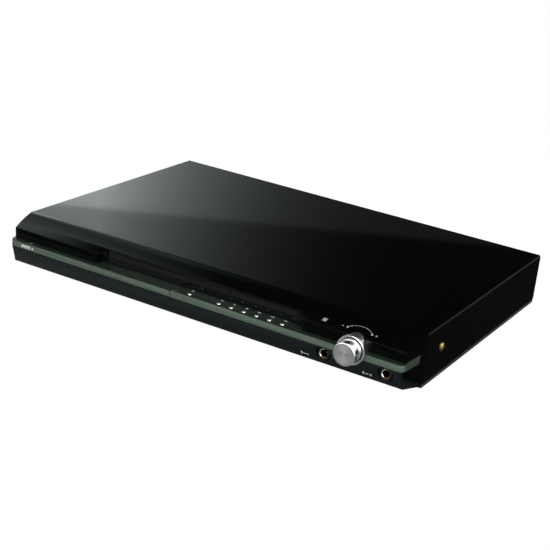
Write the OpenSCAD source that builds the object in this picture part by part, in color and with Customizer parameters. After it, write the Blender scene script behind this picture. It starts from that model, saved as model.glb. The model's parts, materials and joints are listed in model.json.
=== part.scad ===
// Home disc player with a motor-driven disc tray.
// The front has a recessed slot with the tray door and the display window,
// a metal-look ledge with seven dome keys, a power bar, a volume knob in a
// collar and two microphone jacks.
// Lengths are in millimetres. X runs to the right seen from the front, Y to
// the rear and Z up. Every module is drawn with y = 0 at the seam between the
// front moulding and the cover, and z = 0 at the lower edge of the side walls;
// set_in_frame() then moves it so that the origin is under the middle.

/* [Body] */
// Width over the cover's sides
body_w = 430; // [390:1:470]
// Depth from the front seam to the cover's rear face
body_d = 272; // [246:1:300]
// Height of the top above the lower edge of the sides
body_h = 50.3; // [45.5:0.1:55]
// Thickness of the cover's sheet
cover_t = 1; // [0.8:0.1:1.2]
// Radius of the cover's two long bends
bend_r = 2; // [1.5:0.1:2.5]
// Thickness of the chassis sheet
chassis_t = 0.8; // [0.6:0.1:1]
// Height of the chassis hem that shows under the cover
hem_h = 3.2; // [2.6:0.1:3.6]
// Gap between the hem or the front moulding and the cover
seam_gap = 0.3; // [0.2:0.1:0.5]
// Height of the feet
foot_h = 6; // [4:0.5:9]
// Radius of the feet
foot_r = 14; // [11:0.5:16]
// Distance of the feet from the sides
foot_in = 50; // [40:1:65]

/* [Front moulding] */
// Wall thickness of the front moulding
bezel_t = 2.2; // [2:0.1:2.4]
// How far the crease between the two upper faces stands ahead of the seam
crease_y = 29.5; // [29:0.1:30]
// How far the ledge stands ahead of the seam
ledge_y = 35.5; // [35:0.1:36]
// Depth of the ledge's front edge below the top
ledge_drop = 19.3; // [19.1:0.1:19.7]
// Rise of the ledge towards the rear, for each millimetre
ledge_rise = 0.073; // [0.06:0.001:0.08]
// Thickness of the ledge trim's top plate
trim_t = 1.6; // [1.4:0.1:1.8]
// Thickness of the ledge trim's front lip
lip_t = 1.5; // [1.3:0.1:1.5]
// Height of the ledge trim's front lip
lip_h = 5.7; // [5.4:0.1:6]
// Where the two halves of the trim meet
trim_seam_x = -23; // [-26:0.5:-18]
// Gap between the two halves of the trim
trim_gap = 0.6; // [0.4:0.1:1]

/* [Slot] */
// How far the slot reaches past the tray door on the left
slot_margin = 4.7; // [3.5:0.1:6]
// Right end of the slot
slot_x1 = 111; // [110:0.1:113]
// Depth of the slot's upper edge below the top
slot_drop = 4.9; // [4.5:0.1:5.1]
// How far the slot's back plane stands ahead of the seam
slot_y = 20.5; // [20:0.1:21]
// Thickness of the display window
window_t = 2; // [1.5:0.1:2.2]

/* [Tray] */
// Diameter of the discs
disc_d = 120; // [119:0.5:121]
// Diameter of the small discs
small_disc_d = 80; // [78:0.5:81]
// Room around a disc in its well
well_gap = 0.5; // [0.3:0.1:0.8]
// Middle of the tray, left to right
tray_x = -37.5; // [-38:0.1:-37]
// Distance of the spindle behind the seam
spindle_y = 50; // [49.5:0.1:51]
// How far the tray slides out
tray_travel = 135; // [120:1:135]
// Half the width of the tray's body
tray_hw = 64; // [63.5:0.1:64.2]
// How far the tray door reaches past the tray's body on each side
door_over = 4.5; // [4:0.1:4.8]
// Thickness of the tray door
door_t = 3; // [2.6:0.1:3.2]
// Gap around the tray door
door_gap = 0.4; // [0.3:0.05:0.5]
// Side room between the tray's body and its guides
guide_gap = 0.5; // [0.3:0.05:0.5]
// Width of the slot for the pickup
pickup_slot_w = 42; // [40:0.5:44]

/* [Drive] */
// Module of the tray's rack and pinion
rack_module = 1.25; // [1.2:0.05:1.25]
// Teeth of the pinion
pinion_teeth = 16; // [16:1:16]
// Module of the reduction gears
gear_module = 0.8; // [0.8:0.05:0.8]
// Teeth of the large reduction wheel
wheel_teeth = 40; // [40:4:40]
// Teeth of the small reduction gear
small_teeth = 12; // [12:1:12]
// Radius of the large belt pulley
pulley_r = 12; // [11:0.5:12]
// Radius of the motor's pulley
motor_pulley_r = 4; // [3.6:0.1:4.4]
// Depth of the belt grooves
groove_d = 1.2; // [1:0.1:1.3]
// Radial room in the bearings
bearing_gap = 0.05; // [0.03:0.01:0.08]

/* [Disc drive] */
// Radius of the turntable
turntable_r = 15; // [14:0.5:15.5]
// Radius of the clamper's hub
clamper_r = 14.7; // [14:0.1:15]
// Radial room around the clamper in its bridge
clamper_gap = 0.3; // [0.25:0.05:0.5]
// Radius of the two guide rods
guide_rod_r = 1.5; // [1.2:0.1:1.6]
// Radius of the lead screw
lead_screw_r = 1.8; // [1.6:0.1:2]
// Radius of the lens
lens_r = 3.5; // [3:0.1:3.8]
// Smallest radius that the lens reads at
lens_start = 24; // [23:0.5:25]

/* [Controls] */
// Radius of the dome keys
key_r = 2.2; // [2:0.1:2.3]
// Radial room around the keys
key_gap = 0.1; // [0.05:0.01:0.1]
// Position of the open and close key
eject_x = -5.5; // [-7:0.5:-4]
// Position of the first of the six transport keys
key_x = 25.8; // [25.6:0.1:26.4]
// Distance between neighbouring transport keys
key_pitch = 13.16; // [12.8:0.02:13.2]
// Distance of the keys ahead of the seam
key_y = 29.6; // [29.4:0.1:31]
// Distance of the power bar's middle from the left end
power_in = 23.3; // [22:0.1:25]
// Width of the power bar
power_w = 10.6; // [10:0.1:11]
// Height of the power bar
power_h = 2.6; // [2.4:0.1:3.2]
// Distance from the power bar's middle to the standby lamp
lamp_dx = 8.2; // [7.8:0.1:8.6]
// Radius of the standby lamp
lamp_r = 1.3; // [1.1:0.1:1.4]
// Distance of the volume knob's axis from the right end
knob_in = 52.5; // [52:0.1:53]
// Height of the volume knob's axis above the ledge's front edge
knob_up = 0.8; // [0.5:0.1:1]
// Radius of the volume knob
knob_r = 10.6; // [10.2:0.1:10.8]
// How far the knob's face stands ahead of the seam
knob_y = 50; // [48:0.5:52]
// Outer radius of the collar's bright ring around the knob
collar_r = 13.2; // [13:0.1:13.4]
// Outer radius of the collar behind its ring
collar_body_r = 11.9; // [11.8:0.1:12.3]
// Inner radius of the knob's collar
collar_in_r = 11.2; // [11.1:0.1:11.4]
// How far the collar stands ahead of the seam
collar_y = 38; // [37.5:0.1:39]
// Distance from the right end to the middle between the microphone jacks
jacks_in = 50.25; // [50:0.25:51]
// Distance between the two microphone jacks
jacks_dx = 59.5; // [59:0.5:60]
// Depth of the microphone jacks below the ledge's front edge
jack_drop = 13.2; // [13:0.1:13.5]
// Bore radius of the microphone jacks
jack_bore_r = 3.25; // [3.2:0.01:3.3]
// Radius of the jack's metal nose
jack_nose_r = 5.75; // [5.5:0.05:5.9]
// Radius of the round recess around each jack
jack_recess_r = 7.25; // [7:0.05:7.4]

/* [Rear and boards] */
// Barrel radius of the phono sockets
phono_r = 4.15; // [4:0.05:4.2]
// How far the phono sockets stand out of the rear panel
phono_out = 9; // [8:0.5:10]
// Thickness of the circuit boards
board_t = 1.6; // [1.2:0.1:1.6]
// Height of the large boards' lower faces
board_z = 8; // [7:0.5:9]
// Radius of the screws' shanks
screw_r = 1.5; // [1.3:0.1:1.5]
// Radius of the screws' heads
head_r = 3.6; // [3:0.1:3.8]

/* [Hidden] */
hw = body_w / 2;
cover_in_z = body_h - cover_t;
wall_out_x = hw - cover_t;
wall_in_x = wall_out_x - chassis_t;
rear_in_y = body_d - cover_t - chassis_t;
rear_out_y = body_d - cover_t;
rear_most = rear_out_y + phono_out;
shift_y = (knob_y - rear_most) / 2;
flange_z = body_h - 12;
side_screw_y = 34;
side_screw_z = 28;
rear_screw_x = [-150, 0, 150];
rear_screw_z = body_h - 6;

// Front moulding, as [y, z] and [x, y] outlines
ledge_z = body_h - ledge_drop;
slot_top = body_h - slot_drop;
chin_z = body_h - 42.8;
function ledge_top(y) = ledge_z + (y + ledge_y) * ledge_rise;
lip_z = ledge_z - lip_h;
bezel_outer_yz = [
    [0, body_h],
    [-10, body_h - 1.6],
    [-20, body_h - 4.5],
    [-crease_y, body_h - 8.8],
    [-crease_y + 0.7, ledge_z + 0.3],
    [-34.3, ledge_z - 0.6],
    [-34.3, lip_z - 0.3],
    [-28.5, chin_z],
    [0, 1.5]
];
bezel_inner_yz = [
    [1, body_h - bezel_t + 0.1],
    [-9.6, body_h - 1.7 - bezel_t],
    [-19.2, body_h - 4.5 - bezel_t],
    [-crease_y + bezel_t, body_h - 9.2 - bezel_t * 0.6],
    [-crease_y + bezel_t + 0.7, ledge_z - 2],
    [-31.9, ledge_z - 2.4],
    [-32, lip_z + 0.1],
    [-28.5 + bezel_t * 0.82, chin_z + 1.9],
    [1, 3.4]
];
door_x0 = tray_x - tray_hw - door_over;
door_x1 = tray_x + tray_hw + door_over;
slot_x0 = door_x0 - slot_margin;
door_z0 = ledge_top(-slot_y + door_t) + 0.45;
door_z1 = slot_top - 0.5;
slot_slope = 0.7013;
slot_foot_z = slot_top - 5.4;
slot_low_z = ledge_z - 3;
slot_corner_x0 = slot_x0 + (slot_top - slot_foot_z) / slot_slope;
slot_corner_x1 = slot_x1 - 13;
slot_outline = [
    [slot_x0, slot_low_z],
    [slot_x0, slot_foot_z],
    [slot_corner_x0, slot_top],
    [slot_corner_x1, slot_top],
    [slot_x1, slot_foot_z - 1],
    [slot_x1, slot_low_z]
];
liner_t = 2.2;
liner_outline = [
    [slot_x0 - liner_t, slot_low_z + 0.9],
    [slot_x0 - liner_t, slot_foot_z + 0.9],
    [slot_corner_x0 - 0.9, slot_top + 2],
    [slot_corner_x1 + 0.9, slot_top + 2],
    [slot_x1 + liner_t, slot_foot_z + 0.3],
    [slot_x1 + liner_t, slot_low_z + 0.9]
];
through_x0 = door_x0 - door_gap;
through_outline = [
    [through_x0, slot_low_z],
    [through_x0, slot_foot_z + (through_x0 - slot_x0) * slot_slope],
    [slot_corner_x0, slot_top],
    [slot_corner_x1, slot_top],
    [slot_x1, slot_foot_z - 1],
    [slot_x1, slot_low_z]
];
slot_back_y = -slot_y + door_t + 1.1;

// Tray
tray_z0 = ledge_z + 2.4;
tray_z1 = tray_z0 + 6.2;
well_z = tray_z0 + 3.4;
small_well_z = well_z - 1;
well_r = disc_d / 2 + well_gap;
small_well_r = small_disc_d / 2 + well_gap;
tray_y0 = -slot_y + door_t;
tray_y1 = tray_y0 + 167.5;
tongue = 1.8;
tongue_z0 = tray_z0 + 3.6;
tongue_z1 = tongue_z0 + 1.4;
guide_in = tray_hw + guide_gap;

// Drive
pinion_r = rack_module * pinion_teeth / 2;
rack_tip = 2.25 * rack_module;
rack_teeth = ceil(tray_travel / (PI * rack_module) + 2.5);
drive_x = tray_x - tray_hw - 1.25 * rack_module - pinion_r;
drive_y = 10;
wheel_r = gear_module * wheel_teeth / 2;
small_r = gear_module * small_teeth / 2;
idler_y = drive_y + wheel_r + small_r;
motor_x = drive_x - 8.94;
motor_y = idler_y + 35.2;
deck_z0 = tray_z0 - 13.4;
deck_z1 = deck_z0 + 2.5;
wheel_z = deck_z0 + 9.8;
pulley_z = deck_z0 + 4.8;
groove_z = [pulley_z + 0.9, pulley_z + 2.7];
motor_h = 13;
belt_t = 1.1;
frame_wall = 6;
frame_x0 = tray_x - guide_in - frame_wall;
frame_x1 = tray_x + guide_in + frame_wall;
frame_y0 = -12;
frame_y1 = tray_y1 + 22;
frame_top = tray_z0 + 10.1;
frame_screw_x = [frame_x0 + 3, frame_x1 - 3];
wing_x0 = frame_x0 - 29;
leg_at = [
    [frame_x0 - 20, 5],
    [frame_x1 + 5, 6],
    [frame_x1 + 5, tray_y1 + 15],
    [frame_x0 - 5, tray_y1 + 15]
];

// Disc drive
rod_dx = 27;
rod_z = deck_z0 + 7.75;
plate_z = rod_z - 1.25;
disc_z = well_z + 0.8;
screw_x = tray_x + 20.5;
screw_z = deck_z0 + 5;
lens_y = spindle_y + lens_start;
pickup_travel = 34;
rail_y0 = spindle_y + 14;
rail_y1 = lens_y + pickup_travel + 20;
pivot_y = rail_y1 + 3;

// Front controls
transport_x = [for (i = [0 : 5]) key_x + i * key_pitch];
all_keys_x = concat([eject_x], transport_x);
key_base = ledge_z - 3.4;
key_dome_r = 2.7;
key_top = ledge_z + 1.2;
key_board_z = ledge_z - 9.6;
power_x = -hw + power_in;
power_z = ledge_z - 3.4;
lamp_x = power_x + lamp_dx;
knob_x = hw - knob_in;
knob_z = ledge_z + knob_up;
collar_ring_t = 1.8;
jack_z = ledge_z - jack_drop;
jacks_x = hw - jacks_in;
jack_x = [jacks_x - jacks_dx / 2, jacks_x + jacks_dx / 2];

// Rear
phono_x = [hw - 139, hw - 123, hw - 107];
phono_z = [flange_z - 23.3, flange_z - 5.3];
coax_x = hw - 75;
optical_x = hw - 55;
round_x = hw - 33;
digital_z = flange_z - 11.3;
inlet_x = -hw + 45;
inlet_z = 23;
foot_x = [-hw + foot_in, hw - foot_in];
foot_y = [34, body_d - 34];

// Boards
board_top = board_z + board_t;
main_x0 = frame_x1 + 11;
main_x1 = hw - 9;
main_screw_x = [main_x0 + 6, main_x1 - 6];
main_screw_y = [76, body_d - 24];
power_x0 = -hw + 9;
power_x1 = frame_x0 - 12;
power_screw_x = [power_x0 + 6, power_x1 - 6];
power_screw_y = [101, body_d - 16];
sink_x = power_x1 - 30;

module set_in_frame() {
    translate([0, shift_y, foot_h])
        children();
}

// A box from its two corners
module box(x0, x1, y0, y1, z0, z1) {
    translate([x0, y0, z0])
        cube([x1 - x0, y1 - y0, z1 - z0]);
}

module post(x, y, z0, z1, r) {
    translate([x, y, z0])
        cylinder(r = r, h = z1 - z0, $fn = 48);
}

module along_y(x, z, y0, y1, r) {
    translate([x, y0, z])
        rotate([-90, 0, 0])
            cylinder(r = r, h = y1 - y0, $fn = 64);
}

module along_x(y, z, x0, x1, r) {
    translate([x0, y, z])
        rotate([0, 90, 0])
            cylinder(r = r, h = x1 - x0, $fn = 48);
}

// A [y, z] outline carried along X
module side_section(outline, x0, x1) {
    translate([x0, 0, 0])
        rotate([90, 0, 90])
            linear_extrude(height = x1 - x0)
                polygon(outline);
}

// An [x, z] outline carried along Y
module front_section(outline, y0, y1) {
    translate([0, y1, 0])
        rotate([90, 0, 0])
            linear_extrude(height = y1 - y0)
                polygon(outline);
}

// An [x, y] outline carried along Z
module plan_section(outline, z0, z1) {
    translate([0, 0, z0])
        linear_extrude(height = z1 - z0)
            polygon(outline);
}

// ---- Case ----

module bent_sheet(inset, y0, y1, r) {
    x = hw - inset;
    z = body_h - inset;
    box(-x, x, y0, y1, -20, z - r);
    box(-x + r, x - r, y0, y1, z - r - 1, z);
    along_y(-x + r, z - r, y0, y1, r);
    along_y(x - r, z - r, y0, y1, r);
}

module top_cover() {
    set_in_frame()
    color([0.05, 0.05, 0.055])
    difference() {
        bent_sheet(0, seam_gap, body_d, bend_r);
        bent_sheet(cover_t, -1, rear_out_y, bend_r - cover_t);
        box(-hw - 1, hw + 1, -1, body_d + 1, -30, hem_h + seam_gap);
        box(-wall_out_x, wall_out_x, 1, body_d + 1, -30, flange_z);
        along_x(side_screw_y, side_screw_z, -hw - 1, hw + 1, screw_r + 0.2);
        along_x(side_screw_y, side_screw_z, -hw - 1, -hw + 0.4, head_r + 0.8);
        along_x(side_screw_y, side_screw_z, hw - 0.4, hw + 1, head_r + 0.8);
        for (x = rear_screw_x)
            along_y(x, rear_screw_z, 1, body_d + 1, screw_r + 0.2);
    }
}

module chassis_base() {
    set_in_frame()
    color([0.6, 0.61, 0.6])
    difference() {
        union() {
            box(-hw, hw, 0, rear_in_y, 0, chassis_t);
            for (side = [0, 1])
                mirror([side, 0, 0]) {
                    box(wall_in_x, hw, 0, rear_out_y, 0, hem_h);
                    box(wall_in_x, wall_out_x, 0, rear_in_y, 0, body_h - 10.3);
                }
            box(-wall_out_x, wall_out_x, 0, chassis_t, 0, cover_in_z);
            for (x = main_screw_x, y = main_screw_y)
                post(x, y, 0, board_z, 3);
            for (x = power_screw_x, y = power_screw_y)
                post(x, y, 0, board_z, 3);
        }
        box(wing_x0 - 9, main_x0, -1, 2, 4, body_h - 4.3);
        for (x = [-190, 60, 90, 120])
            box(x, x + 24, -1, 2, 8, 18);
        along_x(side_screw_y, side_screw_z, -hw - 1, hw + 1, screw_r + bearing_gap);
        for (x = foot_x, y = foot_y)
            post(x, y, -1, 2, screw_r + 0.2);
        for (i = [0 : 11])
            box(60 + i * 11, 64 + i * 11, 150, 190, -1, 2);
        for (x = main_screw_x, y = main_screw_y)
            post(x, y, 2, board_z + 2, screw_r + bearing_gap);
        for (x = power_screw_x, y = power_screw_y)
            post(x, y, 2, board_z + 2, screw_r + bearing_gap);
        box(-wall_in_x, wall_in_x, rear_in_y, body_d, -1, 2);
    }
}

module rear_panel() {
    set_in_frame()
    color([0.08, 0.08, 0.08])
    difference() {
        union() {
            box(-wall_in_x, wall_in_x, rear_in_y, rear_out_y, 0, cover_in_z);
            box(-wall_in_x, wall_in_x, rear_in_y - 8, rear_in_y, chassis_t, 2 * chassis_t);
        }
        for (x = phono_x, z = phono_z)
            along_y(x, z, rear_in_y - 1, body_d, 5);
        along_y(coax_x, digital_z, rear_in_y - 1, body_d, 5);
        box(optical_x - 6.5, optical_x + 6.5, rear_in_y - 1, body_d,
            digital_z - 5.5, digital_z + 5.5);
        along_y(round_x, digital_z, rear_in_y - 1, body_d, 7);
        box(inlet_x - 12, inlet_x + 12, rear_in_y - 1, body_d, inlet_z - 7, inlet_z + 7);
        for (i = [0 : 13])
            box(-112 + i * 9, -108 + i * 9, rear_in_y - 1, body_d, 16, flange_z - 2.3);
        for (x = rear_screw_x)
            along_y(x, rear_screw_z, 1, body_d + 1, screw_r + bearing_gap);
    }
}

// ---- Front moulding ----

function bezel_plan(i) = [
    [hw - i, i == 0 ? 0 : 1],
    [hw - i, 0],
    [hw - 2 - i, -8],
    [hw - 4.8 - i, -29.5],
    [hw - 5.4 - i, -36],
    [-hw + 5.4 + i, -36],
    [-hw + 4.8 + i, -29.5],
    [-hw + 2 + i, -8],
    [-hw + i, 0],
    [-hw + i, i == 0 ? 0 : 1]
];

module bezel_hull() {
    intersection() {
        side_section(bezel_outer_yz, -hw, hw);
        plan_section([
            [hw, 0],
            [hw - 2, -8],
            [hw - 4.8, -29.5],
            [hw - 5.4, -36],
            [-hw + 5.4, -36],
            [-hw + 4.8, -29.5],
            [-hw + 2, -8],
            [-hw, 0]
        ], 0, body_h + 1);
    }
}

module bezel_space() {
    intersection() {
        side_section(bezel_inner_yz, -hw, hw);
        plan_section(bezel_plan(bezel_t), -1, body_h + 1);
    }
}

// The ledge trim before it is split: a top plate, a front lip and two returns
function trim_plan(i) = [
    [hw - 1.7 - i, -7.5],
    [hw - 3.4 - i, -29.5],
    [hw - 3.8 - i * 0.95, -ledge_y + 3.6 + i * 0.3],
    [hw - 4.7 - i * 0.8, -ledge_y + 1.8 + i * 0.6],
    [hw - 6.1 - i * 0.5, -ledge_y + 0.5 + i * 0.87],
    [hw - 8 - i * 0.1, -ledge_y + i],
    [-hw + 8 + i * 0.1, -ledge_y + i],
    [-hw + 6.1 + i * 0.5, -ledge_y + 0.5 + i * 0.87],
    [-hw + 4.7 + i * 0.8, -ledge_y + 1.8 + i * 0.6],
    [-hw + 3.8 + i * 0.95, -ledge_y + 3.6 + i * 0.3],
    [-hw + 3.4 + i, -29.5],
    [-hw + 1.7 + i, -7.5]
];

module ledge_solid() {
    difference() {
        intersection() {
            side_section([
                [-7.5, lip_z],
                [-7.5, ledge_top(-7.5)],
                [-ledge_y, ledge_top(-ledge_y)],
                [-ledge_y, lip_z]
            ], -hw, hw);
            plan_section(trim_plan(0), 0, 60);
        }
        intersection() {
            side_section([
                [5, 15],
                [5, ledge_top(5) - trim_t],
                [-50, ledge_top(-50) - trim_t],
                [-50, 15]
            ], -hw, hw);
            plan_section(concat([[hw - 1.7 - lip_t, 5]], trim_plan(lip_t),
                [[-hw + 1.7 + lip_t, 5]]), 10, 60);
        }
        intersection() {
            union() {
                box(-hw, slot_x0, -crease_y + 0.9, 5, 10, 60);
                box(slot_x1, hw, -crease_y + 0.9, 5, 10, 60);
                box(-hw, hw, -slot_y + door_t, 5, 10, 60);
            }
            plan_section(concat([[hw - 1.7 - lip_t, 5]], trim_plan(lip_t),
                [[-hw + 1.7 + lip_t, 5]]), 0, 60);
        }
        for (x = all_keys_x)
            post(x, -key_y, ledge_z - 8, ledge_z + 9, key_r + key_gap);
        box(power_x - power_w / 2 - 0.1, power_x + power_w / 2 + 0.1,
            -45, -20, power_z - power_h / 2 - 0.1, power_z + power_h / 2 + 0.1);
        along_y(lamp_x, power_z, -45, -25, lamp_r + 0.05);
        along_y(knob_x, knob_z, -45, -20, collar_body_r + 0.1);
    }
}

module front_bezel() {
    set_in_frame()
    color([0.03, 0.035, 0.045])
    difference() {
        intersection() {
            bezel_hull();
            union() {
                difference() {
                    bezel_hull();
                    bezel_space();
                }
                // lining of the slot and the shelf under it
                front_section(liner_outline, -crease_y, slot_back_y);
                // seat of the knob's collar
                box(knob_x - 19.5, knob_x + 19.5, -25.2, -23.2, 5, body_h);
                // bosses of the jacks
                for (x = jack_x)
                    along_y(x, jack_z, -34, -26, 9);
                // plate behind the power switch
                box(power_x - 10.3, power_x + 10.7, -16, -14, 2, power_z + 8);
                // posts under the key board
                for (x = [-15, 42, 100])
                    post(x, -20, 2, key_board_z, 2.5);
            }
        }
        ledge_solid();
        front_section(slot_outline, -45, -slot_y);
        difference() {
            front_section(through_outline, -slot_y - 1, slot_back_y + 1);
            side_section([
                [-40, 20],
                [-40, ledge_top(-40) - trim_t],
                [0, ledge_top(0) - trim_t],
                [0, 20]
            ], -hw, hw);
        }
        for (x = all_keys_x)
            post(x, -key_y, ledge_z - 7, ledge_z + 9, key_r + key_gap);
        box(power_x - power_w / 2 - 0.1, power_x + power_w / 2 + 0.1,
            -45, -24, power_z - power_h / 2 - 0.1, power_z + power_h / 2 + 0.1);
        along_y(lamp_x, power_z, -45, -25, lamp_r + 0.05);
        along_y(knob_x, knob_z, -45, -20, collar_body_r + 0.1);
        for (x = jack_x) {
            along_y(x, jack_z, -45, -29.6, jack_recess_r);
            along_y(x, jack_z, -45, -20, jack_nose_r + 0.1);
        }
    }
}

module ledge_trim_left() {
    set_in_frame()
    color([0.3, 0.33, 0.31])
    intersection() {
        ledge_solid();
        box(-hw - 1, trim_seam_x - trim_gap / 2, -60, 10, 0, 60);
    }
}

module ledge_trim_right() {
    set_in_frame()
    color([0.3, 0.33, 0.31])
    intersection() {
        ledge_solid();
        box(trim_seam_x + trim_gap / 2, hw + 1, -60, 10, 0, 60);
    }
}

module display_window() {
    set_in_frame()
    color([0.03, 0.035, 0.04])
    front_section([
        [door_x1 + door_gap, door_z0 - 0.1],
        [door_x1 + door_gap, slot_top],
        [slot_corner_x1 - 0.1, slot_top],
        [slot_x1 - 0.15, slot_foot_z - 1.1],
        [slot_x1 - 0.15, door_z0 - 0.1]
    ], -slot_y, -slot_y + window_t);
}

module display_module() {
    set_in_frame()
    color([0.12, 0.13, 0.14])
    difference() {
        union() {
            box(frame_x1 + 2, 95, -slot_y + window_t, -8, slot_top - 12.4, slot_top - 1.3);
            box(frame_x1, 97, -9.6, -8, slot_top - 13.9, slot_top - 1.3);
        }
        box(frame_x1 + 4, 93, -slot_y + window_t - 1, -16, slot_top - 10.4, slot_top - 2.6);
    }
}

// ---- Tray and its drive ----

module tray_door() {
    set_in_frame()
    color([0.03, 0.035, 0.04])
    front_section([
        [door_x0, door_z0],
        [door_x0, slot_foot_z - 0.489 + (door_x0 - slot_x0) * slot_slope],
        [slot_x0 + (door_z1 - slot_foot_z + 0.489) / slot_slope, door_z1],
        [door_x1, door_z1],
        [door_x1, door_z0]
    ], -slot_y, -slot_y + door_t);
}

function rack_points(n, p, m, depth) = concat(
    [[0, 0]],
    [for (i = [0 : n - 1], k = [0 : 3])
        let (mid = (i + 0.5) * p)
        k == 0 ? [mid - p * 0.225 - 0.364 * 1.25 * m, 0] :
        k == 1 ? [mid - p * 0.225 + 0.364 * m, depth] :
        k == 2 ? [mid + p * 0.225 - 0.364 * m, depth] :
        [mid + p * 0.225 + 0.364 * 1.25 * m, 0]],
    [[n * p, 0], [n * p, -1], [0, -1]]
);

module disc_tray() {
    set_in_frame()
    color([0.06, 0.06, 0.065])
    difference() {
        union() {
            box(tray_x - tray_hw, tray_x + tray_hw, tray_y0, tray_y1, tray_z0, tray_z1);
            box(tray_x - tray_hw - tongue, tray_x + tray_hw + tongue,
                2, tray_y1, tongue_z0, tongue_z1);
            // rack on the left edge
            translate([tray_x - tray_hw, drive_y - 2 * PI * rack_module, tray_z0 + 0.2])
                rotate([0, 0, 90])
                    linear_extrude(height = 2.8)
                        polygon(rack_points(rack_teeth, PI * rack_module, rack_module, rack_tip));
        }
        // wells for both disc sizes
        translate([tray_x, spindle_y, well_z])
            cylinder(r = well_r, h = 10, $fn = 128);
        translate([tray_x, spindle_y, small_well_z])
            cylinder(r = small_well_r, h = 10, $fn = 96);
        // slot for the turntable and the pickup
        translate([tray_x, spindle_y, tray_z0 - 10])
            cylinder(r = pickup_slot_w / 2, h = 30, $fn = 64);
        box(tray_x - pickup_slot_w / 2, tray_x + pickup_slot_w / 2,
            spindle_y, tray_y1 + 1, tray_z0 - 10, tray_z1 + 10);
        // finger dips beside the well
        for (x = [-1, 1])
            translate([tray_x + x * 44, spindle_y - 52, well_z - 0.6])
                cylinder(r = 9, h = 10, $fn = 48);
        // hollow under the floor
        box(tray_x - tray_hw + 3, tray_x - pickup_slot_w / 2 - 2,
            tray_y0 + 4, tray_y1 - 4, tray_z0 - 10, tray_z0 + 1);
        box(tray_x + pickup_slot_w / 2 + 2, tray_x + tray_hw - 3,
            tray_y0 + 4, tray_y1 - 4, tray_z0 - 10, tray_z0 + 1);
    }
}

// Posts that the two gears turn on, started lower for a clearing cut
module gear_posts(under) {
    post(drive_x, drive_y, deck_z0 - under, wheel_z - 0.3, 4);
    post(drive_x, drive_y, deck_z0 - under, wheel_z + 6.2, 2);
    post(drive_x, idler_y, deck_z0 - under, pulley_z - 0.3, 3.5);
    post(drive_x, idler_y, deck_z0 - under, wheel_z + 3.2, 1.5);
}

module pivot_ears(z0) {
    for (x = [tray_x - 54.5, tray_x + 41.5])
        box(x, x + 13, pivot_y - 6, pivot_y + 6, z0, rod_z + 5.25);
}

module loader_frame() {
    set_in_frame()
    color([0.16, 0.16, 0.17])
    difference() {
        union() {
            box(frame_x0, frame_x0 + frame_wall, frame_y0, frame_y1, deck_z0, frame_top);
            box(frame_x1 - frame_wall, frame_x1, frame_y0, frame_y1, deck_z0, frame_top);
            box(frame_x0, frame_x1, frame_y0, frame_y1, deck_z0, deck_z1);
            box(frame_x0, frame_x1, frame_y1 - 2, frame_y1, deck_z0, frame_top);
            // wing for the gears and the motor
            box(wing_x0, frame_x0 + 1, frame_y0 + 2, motor_y + 20, deck_z0, deck_z1);
            // ears and legs
            for (p = leg_at) {
                box(p[0] - 5, p[0] + 5, p[1] - 5, p[1] + 5, deck_z0, deck_z1);
                post(p[0], p[1], chassis_t, deck_z0 + 1, 4);
            }
            // posts of the two gears
            gear_posts(0);
            // ears for the pivots of the disc drive
            pivot_ears(deck_z0);
        }
        // guides for the tray's tongues
        box(tray_x - tray_hw - tongue - 0.4, tray_x + tray_hw + tongue + 0.4,
            frame_y0 - 1, tray_y1 + 1, tongue_z0 - 0.3, tongue_z1 + 0.3);
        // room for the rack
        box(tray_x - tray_hw - rack_tip - 0.4, tray_x,
            frame_y0 - 1, tray_y1 + 1, tray_z0 - 0.2, tongue_z0);
        // openings for the gears and the large pulley
        difference() {
            union() {
                post(drive_x, drive_y, wheel_z - 0.6, wheel_z + 3.2, wheel_r + gear_module + 0.5);
                post(drive_x, drive_y, wheel_z - 0.6, wheel_z + 7.1, pinion_r + rack_module + 0.5);
                post(drive_x, idler_y, pulley_z - 0.6, wheel_z + 4.2, pulley_r + 0.5);
                belt_section(belt_t + 0.5, groove_z[0] - 0.3, groove_z[1] + 0.3);
            }
            gear_posts(5);
        }
        // opening for the disc drive
        difference() {
            box(tray_x - 47.5, tray_x + 47.5, 8, rail_y1 + 30, deck_z0 - 1, deck_z1 + 1);
            pivot_ears(deck_z0 - 2);
        }
        along_x(pivot_y, rod_z, -95, 20, 2 + bearing_gap);
        post(motor_x, motor_y, 0, frame_top, motor_pulley_r + 0.8);
        for (p = leg_at)
            post(p[0], p[1], deck_z0 - 8, deck_z1 + 5, screw_r + bearing_gap);
        for (x = frame_screw_x)
            post(x, spindle_y, frame_top - 4, frame_top + 5, screw_r + bearing_gap);
    }
}

// Involute gear outline
function inv_angle(a) = tan(a) * 180 / PI - a;
function flank(r, rb) = inv_angle(acos(min(1, rb / max(r, rb))));
function gear_outline(z, m, play, tip, root) =
    let (rp = m * z / 2, rb = rp * cos(20), r0 = rp - root * m, r1 = rp + tip * m)
    let (half = 90 / z - play / rp * 28.6 + inv_angle(20))
    let (radii = [for (k = [0 : 4]) let (s = max(r0, rb)) s + (r1 - s) * k / 4])
    [for (i = [0 : z - 1], k = [0 : 11])
        let (c = 360 / z * i)
        let (r = k == 0 || k == 11 ? r0 : k < 6 ? radii[k - 1] : radii[10 - k])
        let (h = half - flank(r, rb))
        let (a = k < 6 ? c - h : c + h)
        [r * cos(a), r * sin(a)]];

module toothed(z, m, play, tip, root, h, turn) {
    rotate([0, 0, turn])
        linear_extrude(height = h)
            polygon(gear_outline(z, m, play, tip, root));
}

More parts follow.
